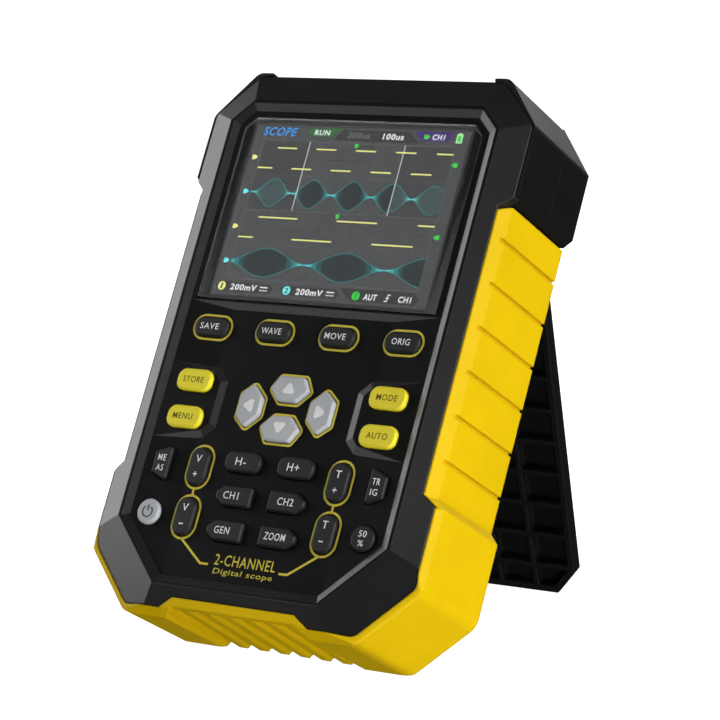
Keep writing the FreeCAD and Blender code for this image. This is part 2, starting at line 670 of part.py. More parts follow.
RIM = both_sides([
    (size("rim_half") - size("rim_top_leg"), size("rim_top")),
    (size("rim_half"), size("rim_top") - size("rim_top_leg")),
    (size("rim_half"), size("waist_top_step")),
    (size("waist_half"), size("waist_top")),
    (size("waist_half"), -size("waist_bottom")),
    (size("rim_half"), -size("waist_bottom_step")),
    (size("rim_half"), size("rim_bottom_leg") - size("rim_bottom")),
    (size("rim_half") - size("rim_bottom_leg"), -size("rim_bottom")),
    (size("tuck_out"), -size("rim_bottom")),
    (size("tuck_half"), -size("tuck_bottom")),
])
BODY = both_sides([
    (size("body_half") - size("body_top_side"), size("body_top")),
    (size("body_half"), size("body_top") - size("body_top_leg")),
    (size("body_half"), size("cap_bottom") + size("cap_bevel")),
    (size("body_half") - size("cap_bevel"), size("cap_bottom")),
    (size("waist_half"), size("cap_bottom")),
    (size("waist_half"), size("body_bottom_leg") - size("body_bottom")),
    (size("waist_half") - size("body_bottom_leg"), -size("body_bottom")),
])
RIDGE = octagon("ridge_half", "ridge_top", "ridge_bottom", "ridge_top_leg", "ridge_bottom_leg")
PANEL = octagon("panel_half", "panel_top", "panel_bottom", "panel_top_leg", "panel_bottom_leg")
OVER = 3.0  # how far a cutting tool runs past what it cuts


def rim_corner(x, y):
    """True at the eight corners where the bezel's chamfers meet its edges."""
    at_sides = abs(x) > size("tuck_out").number + 2.0
    at_ends = y > size("rim_top").number - 15.0 or y < 20.0 - size("rim_bottom").number
    return at_sides and at_ends


def rim_prism(name, gap, back, front):
    return prism(name, grown(RIM, gap), back, front, size("rim_round") + gap, rim_corner)


def body_corner(x, y):
    """True at the corners where the housing's chamfers meet its edges."""
    at_top = y > size("cap_bottom").number + size("cap_bevel").number + 5.0
    return at_top or y < size("body_bottom_leg").number + 5.0 - size("body_bottom").number


def slope(name, raised):
    """The pyramid whose sides are the sloping rim, raised by a little."""
    top = size("ridge_height") + raised
    depth = size("slope_depth")
    return taper(name, grown(RIDGE, depth * size("slope_run")), top - depth, RIDGE, top)


# Keys: the outline of every key's cap, by name.

def upright_arrow(way):
    """An arrow key above (way 1) or below (way -1) the middle of its group."""
    middle = -size("arrow_middle")
    return both_sides([
        (size("tall_near_half"), middle + size("tall_near") * way),
        (size("tall_wide_half"), middle + size("tall_wide") * way),
        (size("tall_far_half"), middle + size("tall_far") * way),
    ])


def sideways_arrow(way):
    """An arrow key to the right (way 1) or left (way -1) of the middle of its group."""
    middle = -size("arrow_middle")
    corners = [
        (size("flat_near") * way, size("flat_near_half")),
        (size("flat_wide") * way, size("flat_wide_half")),
        (size("flat_far") * way, size("flat_far_half")),
    ]
    upper = [(x, middle + half) for x, half in corners]
    lower = [(x, middle - half) for x, half in reversed(corners)]
    return upper + lower


def wedge(way):
    row = size("wedge_row")
    return [
        (size("wedge_inner") * way, size("wedge_inner_half") - row),
        (size("wedge_outer") * way, size("wedge_outer_half") - row),
        (size("wedge_outer") * way, -size("wedge_outer_half") - row),
        (size("wedge_inner") * way, -size("wedge_inner_half") - row),
    ]


def pointed(way, row):
    """A channel key whose outer end comes to a blunt point."""
    half, high, run = sizes("middle_half", "middle_high", "point_run")
    column = size("middle_column")
    row = size(row)
    blunt = high * "point_blunt"
    return [
        ((column - half) * way, high - row),
        ((column + half - run) * way, high - row),
        ((column + half) * way, blunt - row),
        ((column + half) * way, -blunt - row),
        ((column + half - run) * way, -high - row),
        ((column - half) * way, -high - row),
    ]


def flat_key(group, column, row, way):
    return oblong(size(column) * way, -size(row), group + "_half", group + "_high")


KEYS = {
    "key_save_picture": (flat_key("soft", "soft_far", "soft_row", -1), "soft_round", "key_top"),
    "key_save_wave": (flat_key("soft", "soft_near", "soft_row", -1), "soft_round", "key_top"),
    "key_move": (flat_key("soft", "soft_near", "soft_row", 1), "soft_round", "key_top"),
    "key_origin": (flat_key("soft", "soft_far", "soft_row", 1), "soft_round", "key_top"),
    "key_memory": (flat_key("side", "side_column", "side_upper", -1), "side_round", "side_key_top"),
    "key_menu": (flat_key("side", "side_column", "side_lower", -1), "side_round", "side_key_top"),
    "key_mode": (flat_key("side", "side_column", "side_upper", 1), "side_round", "side_key_top"),
    "key_auto": (flat_key("side", "side_column", "side_lower", 1), "side_round", "side_key_top"),
    "key_up": (upright_arrow(1), "arrow_round", "key_top"),
    "key_down": (upright_arrow(-1), "arrow_round", "key_top"),
    "key_left": (sideways_arrow(-1), "arrow_round", "key_top"),
    "key_right": (sideways_arrow(1), "arrow_round", "key_top"),
    "key_measure": (wedge(-1), "wedge_round", "key_top"),
    "key_trigger": (wedge(1), "wedge_round", "key_top"),
    "key_volts_up": (flat_key("scale", "scale_column", "scale_upper", -1), "scale_round", "key_top"),
    "key_volts_down": (flat_key("scale", "scale_column", "scale_lower", -1), "scale_round", "key_top"),
    "key_level_up": (flat_key("scale", "scale_column", "scale_upper", 1), "scale_round", "key_top"),
    "key_level_down": (flat_key("scale", "scale_column", "scale_lower", 1), "scale_round", "key_top"),
    "key_time_down": (flat_key("middle", "middle_column", "time_row", -1), "middle_round", "key_top"),
    "key_time_up": (flat_key("middle", "middle_column", "time_row", 1), "middle_round", "key_top"),
    "key_channel_1": (pointed(-1, "channel_row"), "point_round", "key_top"),
    "key_channel_2": (pointed(1, "channel_row"), "point_round", "key_top"),
    "key_generator": (pointed(-1, "extra_row"), "point_round", "key_top"),
    "key_zoom": (pointed(1, "extra_row"), "point_round", "key_top"),
}
ROUND_KEYS = {"key_power": -1, "key_half_level": 1}
FLANGE_FRONT = -(size("plate_back") + "flange_gap")
FLANGE_BACK = FLANGE_FRONT - "flange_thick"
KEY_BACK = -size("mat_front")


def bevel_top(body, name, level):
    """Bevels the edges round the top face of a key."""
    DOC.recompute()
    base = body.Tip
    names = []
    for number, edge in enumerate(base.Shape.Edges, start=1):
        if all(abs(vertex.Point.z - level) < 1e-6 for vertex in edge.Vertexes):
            names.append("Edge%d" % number)
    chamfer = body.newObject("PartDesign::Chamfer", name)
    chamfer.Base = (base, names)
    chamfer.setExpression("Size", "dims.key_bevel")
    body.Tip = chamfer


def make_key(label, outline, radius, top):
    """A cap with a bevelled top, a flange that the panel keeps in, and a stem that reaches the mat."""
    body = prism(label + "_body", outline, FLANGE_FRONT, top, radius)
    bevel_top(body, label + "_bevel", size(top).number)
    add_pad(body, label + "_flange", grown(outline, "flange_out"), FLANGE_BACK, FLANGE_FRONT)
    add_pad(body, label + "_stem", grown(outline, -size("stem_in")), KEY_BACK, FLANGE_BACK)
    return node(label, body)


def draw_circle(sketch, x, y, radius):
    x, y, radius = sizes(x, y, radius)
    centre = FreeCAD.Vector(x.number, y.number, 0)
    index = sketch.addGeometry(Part.Circle(centre, FreeCAD.Vector(0, 0, 1), radius.number), False)
    hold(sketch, "DistanceX", index, 3, x)
    hold(sketch, "DistanceY", index, 3, y)
    constraint = sketch.addConstraint(Sketcher.Constraint("Radius", index, radius.number))
    sketch.setExpression("Constraints[%d]" % constraint, radius.formula)


def add_disc(body, name, x, y, radius, low, high, role="XY_Plane"):
    low, high = sizes(low, high)
    sketch = new_sketch(body, name + "_sketch", low, role)
    draw_circle(sketch, x, y, radius)
    pad = body.newObject("PartDesign::Pad", name)
    pad.Profile = sketch
    pad.setExpression("Length", (high - low).formula)
    body.Tip = pad


def make_round_key(label, way):
    x = size("round_column") * way
    y = -size("round_row")
    radius = size("round_radius")
    body = new_body(label + "_body")
    add_disc(body, label + "_cap", x, y, radius, FLANGE_FRONT, "key_top")
    bevel_top(body, label + "_bevel", size("key_top").number)
    add_disc(body, label + "_flange", x, y, radius + "flange_out", FLANGE_BACK, FLANGE_FRONT)
    add_disc(body, label + "_stem", x, y, radius - "stem_in", KEY_BACK, FLANGE_BACK)
    return node(label, body)


def key_tools(name, gap, back, front, rounded):
    """One cutting tool for each key: its cap's outline with a gap round it."""
    gap = size(gap)
    tools = []
    for label, (outline, radius, _) in KEYS.items():
        corner = gap + radius if rounded else None
        tools.append(prism(name + "_" + label, grown(outline, gap), back, front, corner))
    for label, way in ROUND_KEYS.items():
        x = size("round_column") * way
        depth = size(front) - back
        tools.append(rod(name + "_" + label, x, -size("round_row"), back, gap + "round_radius", depth))
    return tools


def make_keys():
    for label, (outline, radius, top) in KEYS.items():
        make_key(label, outline, radius, top)
    for label, way in ROUND_KEYS.items():
        make_round_key(label, way)


# Fixings: where the screws stand.

CASE_SCREWS = [
    (size("boss_column") * way, size("boss_row")) for way in (1, -1)
] + [
    (size("boss_low_column") * way, -size("boss_low_row")) for way in (1, -1)
]
BOARD_SCREWS = [
    (size("stud_column") * way, -size(row)) for way in (1, -1) for row in ("stud_upper", "stud_lower")
]


def rods(name, places, radius, back, front):
    """A rod at each place, between two depths below the display's face."""
    back, front = sizes(back, front)
    return [
        rod("%s_%d" % (name, i), x, y, -back, radius, back - front)
        for i, (x, y) in enumerate(places, start=1)
    ]


# Chips on the board: name, column, row, half the width, half the length, thickness.

PACKAGES = [
    ("processor", 0.0, -44.0, 8.5, 8.5, 1.4),
    ("memory", 18.0, -44.0, 5.0, 6.5, 1.0),
    ("flash", -17.0, -40.0, 4.0, 3.0, 1.0),
    ("converter", 0.0, 6.0, 4.5, 4.5, 1.1),
    ("generator", -17.0, -52.0, 3.5, 3.5, 1.0),
    ("charger", -30.0, -16.0, 2.5, 2.5, 0.9),
    ("regulator", -30.0, -25.0, 3.2, 3.2, 1.6),
    ("coil", -30.0, -34.0, 3.5, 3.5, 3.0),
]

# Jacks: the column of each.

JACKS = {
    "bnc_jack_ch1": -size("jack_pitch"),
    "bnc_jack_ch2": size(0.0),
    "bnc_jack_gen": size("jack_pitch"),
}

# Stand: rows of pockets, and the lengthwise rib on the left of each column of them.

RIB_ROWS = 11
RIB_COLUMNS = (-2, -1, 0, 1)


# Sub-parts.

def key_valley():
    """What is taken off the panel round the keys: a flat middle, sides that rise, a ledge at the top."""
    above = size(OVER)
    deep, level = -size("keys_level"), -size("panel_level")
    across = prism(
        "valley_across",
        [
            (-size("panel_half"), above),
            (size("panel_half"), above),
            (size("panel_half"), level),
            (size("fold_half"), deep),
            (-size("fold_half"), deep),
            (-size("panel_half"), level),
        ],
        size("ledge_top") - OVER * 5,
        size("panel_bottom") + OVER,
        role="XZ_Plane",
    )
    rise = size("ledge_run") * ((OVER - deep.number) / (level.number - deep.number))
    foot = -(size("ledge_top") + "ledge_run")
    end = -(size("panel_bottom") + OVER)
    along = prism(
        "valley_along",
        [(foot + rise, above), (foot, deep), (end, deep), (end, above)],
        -size("panel_half") - OVER,
        size("panel_half") + OVER,
        role="YZ_Plane",
    )
    inside = prism("valley_inside", PANEL, deep - OVER, above)
    return overlap("valley", [across, along, inside])


def key_pad(name, way):
    """The raised pad round two yellow keys, with a bevelled inner end."""
    edge, middle, half = sizes("pad_edge", "pad_middle", "pad_half")
    corner, rise = sizes("pad_corner", "pad_rise")
    outer = size("panel_half") + "pad_over"
    top = [
        (edge * way, half - middle),
        ((edge + corner) * way, half + corner - middle),
        (outer * way, half + corner + rise - middle),
        (outer * way, -half - corner - rise - middle),
        ((edge + corner) * way, -half - corner - middle),
        (edge * way, -half - middle),
    ]
    base = grown(top, "pad_bevel")
    return taper(name, base, -size("keys_level"), top, -size("panel_level"))


def make_front_bezel():
    front = size("ridge_height")
    blank = overlap("bezel_blank", [
        rim_prism("bezel_rim", size(0.0), -size("rim_back"), front + OVER),
        slope("bezel_slope", size(0.0)),
    ])
    wall_rise = size("ridge_height") + "panel_level"
    recess = taper(
        "bezel_recess",
        PANEL,
        -size("panel_level"),
        grown(PANEL, size("recess_run") * 2),
        wall_rise * 2 - "panel_level",
    )
    hollow = prism(
        "bezel_hollow",
        octagon("cavity_half", "cavity_top", "cavity_bottom", "rim_top_leg", "rim_bottom_leg"),
        -size("rim_back") - OVER,
        -size("plate_back"),
    )
    shell = cut("bezel_shell", blank, [recess, key_valley(), hollow])
    raised = fuse(
        "bezel_raised",
        [shell, key_pad("bezel_pad_right", 1), key_pad("bezel_pad_left", -1)]
        + rods("bezel_boss", CASE_SCREWS, "boss_radius", "boss_end", "plate_back")
        + rods("bezel_stud", BOARD_SCREWS, "stud_radius", "board_front", "plate_back"),
    )
    seat = prism(
        "bezel_seat",
        grown(lens_outline(), "seat_gap"),
        -(size("lens_thick") + "adhesive"),
        OVER,
    )
    window = block(
        "bezel_window",
        -size("window_half"), "window_half", -size("window_high"), "window_high",
        -size("plate_back") - OVER, OVER,
    )
    tools = key_tools("bezel_hole", "key_gap", -size("plate_back") - OVER, OVER, True)
    tools += [seat, window]
    tools += rods("bezel_bore", CASE_SCREWS, "insert_radius", size("boss_end") + OVER,
                  size("boss_end") - "insert_long" - "insert_room")
    tools += rods("bezel_pilot", BOARD_SCREWS, "pilot_radius", size("board_front") + OVER,
                  size("plate_back") + "pilot_stop")
    return node("front_bezel", cut("front_bezel_solid", raised, tools))


def bay_cutter(name):
    """The opening at the top of both housings that the connector panel fills."""
    half = size("bay_half") + "bay_wall" + "bay_gap"
    return block(
        name,
        -half, half,
        size("body_top") - size("wall") * 2, size("body_top") + OVER,
        -(size("bay_back") + "bay_wall" + "bay_gap"), size(OVER),
    )


def make_front_housing():
    outer = prism("front_outer", BODY, -size("parting"), -size("lip_front"), "body_round", body_corner)
    inner = prism("front_inner", grown(BODY, -size("wall")), -size("parting") - OVER, OVER)
    around = rim_prism("front_rebate", size("rim_gap"), -size("rim_back"), OVER)
    port_gap, port_half = size("port_gap"), size("socket_half") + "port_gap"
    port = block(
        "front_port",
        -size("body_half") - OVER, -size("body_half") + "wall" + OVER,
        size("socket_row") - port_half, size("socket_row") + port_half,
        -(size("board_back") + "socket_thick" + port_gap), -size("board_back") + port_gap,
    )
    return node(
        "front_housing",
        cut("front_housing_solid", outer, [inner, around, bay_cutter("front_bay"), port]),
    )


def stand_half_at(y):
    """Half the width of the stand at a height from its hinge."""
    return size("stand_half") + (y + size("stand_toe") - "toe_leg") * "stand_flare"


def stand_top_half():
    return stand_half_at(-size("stand_straight"))


def recess_outline(top, gap):
    """Outline of the stand's recess, up to a height and with a gap beside the stand."""
    half = stand_top_half() + gap
    shoulder = size("pivot_up") - "stand_straight"
    low = -size("body_bottom") - OVER
    return both_sides([
        (half, size(top)),
        (half, shoulder),
        (stand_half_at(low - "pivot_up") + gap, low),
    ])


def hinge_blocks(name):
    """The two thick places inside the back that carry the hinge and its stop."""
    half = size("pin_half") + "hinge_side"
    shelf = size("bay_floor") - "bay_wall" - "shelf_gap"
    lower = block(
        name + "_lower",
        -half, half, size("pivot_up") - "hinge_below", shelf,
        -size("body_back"), -size("hinge_front"),
    )
    upper = block(
        name + "_upper",
        -half, half, shelf, size("pivot_up") + "hinge_above",
        -size("body_back"), -(size("bay_back") + "bay_wall" + "bay_gap"),
    )
    return [lower, upper]


def hinge_well():
    """The round hollow that the stand's heel turns in, with the slanting stop that it rests on."""
    half = stand_top_half() + "recess_side"
    up, deep = size("pivot_up"), -size("pivot_deep")
    around = rod("well_round", -half, up, deep, "well_radius", half * 2, "x")
    reach = size("well_radius") * 2
    stop = DOC.addObject("Part::Box", "well_stop")
    stop.setExpression("Length", (half * 2 + OVER * 2).formula)
    stop.setExpression("Width", (reach * 2).formula)
    stop.setExpression("Height", reach.formula)
    stop.Placement = FreeCAD.Placement(
        FreeCAD.Vector(), FreeCAD.Rotation(FreeCAD.Vector(1, 0, 0), size("stand_open").number)
    )
    stop.setExpression("Placement.Rotation.Angle", "dims.stand_open")
    cosine_open, sine_open = cosine("stand_open"), sine("stand_open")
    inner = size("stand_inner")
    place(
        stop,
        -half - OVER,
        up - reach * cosine_open - inner * sine_open,
        deep - reach * sine_open + inner * cosine_open,
    )
    open_part = cut("well_open", around, [stop])
    barrel = rod("well_barrel", -half, up, deep, size("stand_outer") + "barrel_gap", half * 2, "x")
    return fuse("well", [open_part, barrel])


def make_rear_housing():
    sides = prism("rear_sides", BODY, -size("bevel_front"), -size("parting"), "body_round", body_corner)
    back = taper(
        "rear_back",
        grown(BODY, -size("back_inset")), -size("body_back"),
        BODY, -size("bevel_front"),
    )
    blank = fuse("rear_blank", [sides, back])
    inner = prism(
        "rear_inner", grown(BODY, -size("wall")), -(size("body_back") - "wall"), -size("parting") + OVER
    )
    pan = prism(
        "rear_pan", recess_outline("pivot_up", size("recess_side") + "wall"),
        -size("body_back"), -(size("recess_floor") - "wall"),
    )
    hollow = cut("rear_hollow", inner, [pan] + hinge_blocks("rear_hinge"))
    shell = cut("rear_shell", blank, [hollow])
    posts = rods("rear_post", CASE_SCREWS, "post_radius", size("body_back") - "post_sunk",
                 size("boss_end") + "post_gap")
    posted = fuse("rear_posted", [shell] + posts)
    recess = prism(
        "rear_recess", recess_outline(size("pivot_up") + "well_radius", "recess_side"),
        -size("body_back") - OVER, -size("recess_floor"),
    )
    pin_end = size("pin_half") + "pin_room"
    pin = rod(
        "rear_pin_bore", -pin_end, "pivot_up", -size("pivot_deep"),
        size("pin_radius") + "fit_gap", pin_end * 2, "x",
    )
    tools = [recess, hinge_well(), pin, bay_cutter("rear_bay")]
    tools += rods("rear_bore", CASE_SCREWS, size("screw_radius") + "screw_gap",
                  "body_back", size("boss_end") - OVER)
    tools += rods("rear_sink", CASE_SCREWS, size("head_radius") + "sink_gap",
                  size("body_back") + OVER, "head_seat")
    return node("rear_housing", cut("rear_housing_solid", posted, tools))


def boot_corner(x, y):
    """True at the corners of the boot's bottom end."""
    return y < size("boot_leg").number + OVER - size("boot_bottom").number


def sole_arch(level, top_in, foot_out):
    """Section of what is taken off the middle of the sole, with flaring sides."""
    half = size("arch_half")
    return both_sides([
        (half - top_in, -size(level)),
        (half + foot_out, -size("boot_bottom") - OVER),
    ])


def make_boot():
    half, foot, step = sizes("boot_half", "boot_foot_half", "boot_step")
    outline = both_sides([
        (half, size("boot_top")),
        (half, -step),
        (foot, half - foot - step),
        (foot, size("boot_leg") - size("boot_bottom")),
        (foot - size("boot_leg"), -size("boot_bottom")),
    ])
    edge, above = sizes("boot_edge", OVER)
    bevelled = fuse("boot_bevelled", [
        taper("boot_bevel", outline, -edge, grown(outline, -(edge + above) * "boot_bevel_run"), above),
        prism("boot_sides", outline, -size("boot_back"), -edge),
    ])
    blank = overlap("boot_blank", [
        prism("boot_outer", outline, -size("boot_back"), OVER, "boot_round", boot_corner),
        bevelled,
        slope("boot_slope", size("boot_proud")),
    ])
    gap = size("boot_gap")
    tools = [
        prism("boot_inner", grown(BODY, gap), -size("body_back"), -size("rim_back") + OVER),
        rim_prism("boot_rebate", size("rim_gap"), -size("rim_back"), OVER),
        taper(
            "boot_arch",
            sole_arch("arch_back", "arch_back_in", "arch_back_out"), -size("boot_back") - OVER,
            sole_arch("arch_front", "arch_front_in", "arch_front_out"), OVER,
        ),
        floor_cutter("boot_floor"),
    ]
    for way in (1, -1):
        for i in range(6):
            groove = size("groove_first") + size("groove_pitch") * i
            side = half * way
            deep = size("groove_deep") * way
            left, right = (side - deep, side + OVER) if way > 0 else (side - OVER, side - deep)
            wide = size("groove_wide") * 0.5
            tools.append(block(
                "boot_groove_%d_%d" % (way + 1, i + 1),
                left, right, -groove - wide, -groove + wide,
                -size("boot_back") - OVER, OVER,
            ))
    for i in range(-3, 4):
        scoop = rod(
            "boot_scoop_%d" % (i + 4),
            size("scoop_pitch") * i, -size("arch_back") - "scoop_low", -size("boot_back") - OVER,
            "scoop_radius", size("boot_back") + OVER - "scoop_front",
        )
        scoop.Placement.Rotation = FreeCAD.Rotation(FreeCAD.Vector(1, 0, 0), -size("scoop_tilt").number)
        scoop.setExpression("Placement.Rotation.Angle", "0 - dims.scoop_tilt")
        tools.append(scoop)
    return node("bumper_boot", cut("bumper_boot_solid", blank, tools))


def lens_outline():
    return both_sides([
        (size("lens_half") - size("lens_leg"), size("lens_top")),
        (size("lens_half"), size("lens_top") - size("lens_leg")),
        (size("lens_half"), -size("lens_bottom")),
    ])


def make_display():
    thick = size("lens_thick")
    node("display_lens", prism("lens", lens_outline(), -thick, 0.0))
    glue = prism(
        "glue_outer", grown(lens_outline(), -size("adhesive_inset")), -(thick + "adhesive"), -thick
    )
    half, high = size("window_half") + "adhesive_gap", size("window_high") + "adhesive_gap"
    opening = block("glue_window", -half, half, -high, high, -OVER, OVER)
    node("lens_adhesive", cut("glue", glue, [opening]))
    node("lcd_panel", prism(
        "lcd", oblong(0, 0, "lcd_half", "lcd_high"), -size("lcd_back"), -size("lcd_front")
    ))
    node("lcd_backlight", fuse("backlight", [
        block("light_guide", -size("lcd_half"), "lcd_half", -size("lcd_high"), "lcd_high",
              -size("light_front"), -size("lcd_back")),
        block("light_frame", -size("light_half"), "light_half", -size("light_high"), "light_high",
              -size("light_back"), -size("light_front")),
    ]))
    strips = []
    for i, up in enumerate((1, -1), start=1):
        for j, way in enumerate((1, -1), start=1):
            x = size("foam_column") * way
            y = size("foam_row") * up
            strips.append(block(
                "foam_%d_%d" % (i, j),
                x - "foam_half", x + "foam_half", y - "foam_high", y + "foam_high",
                -size("board_front"), -size("light_back"),
            ))
    node("lcd_foam", fuse("foam", strips))


def make_flex():
    """The display's flexible lead, folded back under the backlight, and the connector it ends in."""
    thick, edge, corner, end = sizes("flex_thick", "light_high", "flex_corner", "flex_end")
    upper = -(size("light_back") - "flex_above")
    lower = -(size("board_front") - "flex_below")
    bend = edge + "flex_out"
    outer = [
        (-edge, upper + thick),
        (-bend + corner, upper + thick),
        (-bend, upper + thick - corner),
        (-bend, lower - thick + corner),
        (-bend + corner, lower - thick),
        (-end, lower - thick),
    ]
    inner = [
        (-end, lower),
        (-bend + corner + thick * 0.5, lower),
        (-bend + thick, lower + corner - thick * 0.5),
        (-bend + thick, upper - corner + thick * 0.5),
        (-bend + corner + thick * 0.5, upper),
        (-edge, upper),
    ]
    half = size("flex_half")
    node("lcd_flex", prism("flex", outer + inner, -half, half, role="YZ_Plane"))
    node("flex_connector", prism(
        "flex_socket",
        rectangle(-half - "flex_plug_side", half + "flex_plug_side", -end, -end + "flex_plug_long"),
        -size("board_front"), -size("board_front") + "flex_plug_thick",
    ))


def make_mat():
    blank = prism(
        "mat_outer",
        octagon("mat_half", -size("mat_top"), "mat_bottom", "mat_top_leg", "mat_leg"),
        -size("board_front"), -size("mat_front"),
    )
    gap = size("stem_gap") - "stem_in"
    tools = key_tools("mat_hole", gap, -size("board_front") - OVER, OVER, False)
    node("keypad_web", cut("mat", blank, tools))


def make_board():
    front, back = sizes("board_front", "board_back")
    outline = octagon("board_half", "board_top", "board_bottom", "board_top_leg", "board_bottom_leg")
    plate = prism("board_plate", outline, -back, -front)
    half = size("socket_half")
    tab = block(
        "board_tab",
        -size("body_half") + "wall" + "tab_gap", -size("board_half") + OVER,
        size("socket_row") - half + "tab_short", size("socket_row") + half, -back, -front,
    )
    joined = fuse("board_joined", [plate, tab])
    holes = rods("board_hole", BOARD_SCREWS, "board_hole", back + OVER, front - OVER)
    node("main_pcb", cut("board", joined, holes))
    chips = [
        block("chip_" + name, size(x) - half_x, size(x) + half_x, size(y) - half_y, size(y) + half_y,
              -back - thick, -back)
        for name, x, y, half_x, half_y, thick in PACKAGES
    ]
    node("ic_packages", fuse("chips", chips))
    half, low, high = sizes("can_half", -size("can_bottom"), "can_top")
    thick, sheet = sizes("can_thick", "can_sheet")
    cans = []
    for i, way in enumerate((1, -1), start=1):
        x = size("can_column") * way
        shell = block("can_%d" % i, x - half, x + half, low, high, -back - thick, -back)
        room = block(
            "can_room_%d" % i,
            x - half + sheet, x + half - sheet, low + sheet, high - sheet,
            -back - thick + sheet, -back + OVER,
        )
        cans.append(cut("can_shell_%d" % i, shell, [room]))
    node("shield_cans", fuse("cans", cans))
    row, thick = sizes("buzzer_row", "buzzer_thick")
    node("buzzer", cut(
        "buzzer_case",
        rod("buzzer_round", 0, -row, -back - thick, "buzzer_radius", thick),
        [rod("buzzer_port", 0, -row, -back - thick - OVER, "buzzer_port", size(OVER) + "buzzer_port_deep")],
    ))


def make_fixings():
    back = size("board_back")
    inserts = []
    for i, (x, y) in enumerate(CASE_SCREWS, start=1):
        sleeve = rod("sleeve_%d" % i, x, y, -size("boss_end"), size("insert_radius") - "fit_gap",
                     "insert_long")
        bore = rod("sleeve_bore_%d" % i, x, y, -size("boss_end") - OVER, size("screw_radius") + "fit_gap",
                   size("insert_long") + OVER * 2)
        inserts.append(cut("insert_%d" % i, sleeve, [bore]))
    node("threaded_inserts", fuse("inserts", inserts))
    seat, tip = sizes("head_seat", "screw_tip")
    screws = []
    for i, (x, y) in enumerate(CASE_SCREWS, start=1):
        shank = rod("case_shank_%d" % i, x, y, -seat, "screw_radius", seat - tip)
        head = rod("case_head_%d" % i, x, y, -seat - "head_thick", "head_radius", "head_thick")
        socket = hexagon("case_socket_%d" % i, x, y, -seat - "head_thick" - OVER,
                         "key_across", size(OVER) + "key_deep")
        screws.append(cut("case_screw_%d" % i, fuse("case_blank_%d" % i, [shank, head]), [socket]))
    node("case_screws", fuse("screws", screws))
    small = []
    for i, (x, y) in enumerate(BOARD_SCREWS, start=1):
        shank = rod("board_shank_%d" % i, x, y, -back, "small_radius", "small_long")
        head = rod("board_head_%d" % i, x, y, -back - "small_head_thick", "small_head", "small_head_thick")
        small.append(fuse("board_screw_%d" % i, [shank, head]))
    node("pcb_screws", fuse("board_screws", small))


def hexagon(name, x, y, z, across, length, axis="z"):
    """A hexagonal rod; across is half the distance between its flats."""
    bar = DOC.addObject("Part::Prism", name)
    bar.Polygon = 6
    bar.Placement = FreeCAD.Placement(FreeCAD.Vector(), TURNS[axis])
    bar.setExpression("Circumradius", (size(across) * (2.0 / math.sqrt(3.0))).formula)
    bar.setExpression("Height", size(length).formula)
    return place(bar, x, y, z)


def make_connector_panel():
    half, wall, floor = sizes("bay_half", "bay_wall", "bay_floor")
    front, back, top = sizes("bay_front", "bay_back", "bay_top")
    blank = fuse("bay_blank", [
        block("bay_box", -half - wall, half + wall, floor - wall, top, -back - wall, -front + wall),
        block("bay_rail", -half - wall - "rail_side", half + wall + "rail_side", "rail_low", "rail_high",
              -back - wall - "rail_back", -front),
    ])
    tools = [block("bay_room", -half, half, floor, top + OVER, -back, -front)]
    for i, x in enumerate(JACKS.values(), start=1):
        tools.append(rod("bay_hole_%d" % i, x, floor - wall - OVER, -size("jack_depth"),
                         size("jack_thread") + "jack_gap", OVER * 2, "y"))
    node("connector_panel", cut("bay", blank, tools))


def make_jacks():
    depth = -size("jack_depth")
    floor, tip, end = sizes("bay_floor", "jack_tip", "jack_end")
    flange_top = floor + "flange_high"
    insulators = []
    contacts = []
    nuts = []
    for label, x in JACKS.items():
        reach = size("lug_reach")
        metal = fuse(label + "_metal", [
            rod(label + "_thread", x, end, depth, "jack_thread", flange_top - end, "y"),
            rod(label + "_flange", x, floor, depth, "jack_flange", flange_top - floor, "y"),
            rod(label + "_barrel", x, floor, depth, "jack_barrel", tip - floor, "y"),
            rod(label + "_lugs", x - reach, "lug_height", depth, "lug_radius", reach * 2, "x"),
        ])
        tools = [
            rod(label + "_bore", x, end - OVER, depth, size("insulator") + "fit_gap", OVER * 8, "y"),
            rod(label + "_mouth", x, flange_top + "mouth_floor", depth, "jack_bore", OVER * 4, "y"),
        ]
        node(label, cut(label + "_solid", metal, tools))
        insulators.append(cut(
            label + "_insulator",
            rod(label + "_sleeve", x, end, depth, "insulator", tip - end - "insulator_short", "y"),
            [rod(label + "_channel", x, end - OVER, depth, size("contact") + "fit_gap", OVER * 9, "y")],
        ))
        low = end - "contact_out"
        contacts.append(cut(
            label + "_contact",
            fuse(label + "_pin", [
                rod(label + "_shaft", x, low, depth, "contact", tip - low - "contact_short", "y"),
                rod(label + "_lead", x, low + "lead_up", depth, size("contact") - "lead_thin",
                    size("jack_depth") - "board_back"),
            ]),
            [rod(label + "_socket", x, tip - "contact_deep", depth, "contact_bore", OVER * 3, "y")],
        ))
        nut_low = floor - "bay_wall" - "nut_thick"
        nuts.append(cut(
            label + "_nut",
            hexagon(label + "_hex", x, nut_low, depth, "nut_across", "nut_thick", "y"),
            [rod(label + "_tapping", x, nut_low - OVER, depth, size("jack_thread") + "fit_gap",
                 OVER * 3, "y")],
        ))
    node("bnc_insulators", fuse("insulators", insulators))
    node("bnc_contacts", fuse("contacts", contacts))
    node("bnc_nuts", fuse("nuts", nuts))


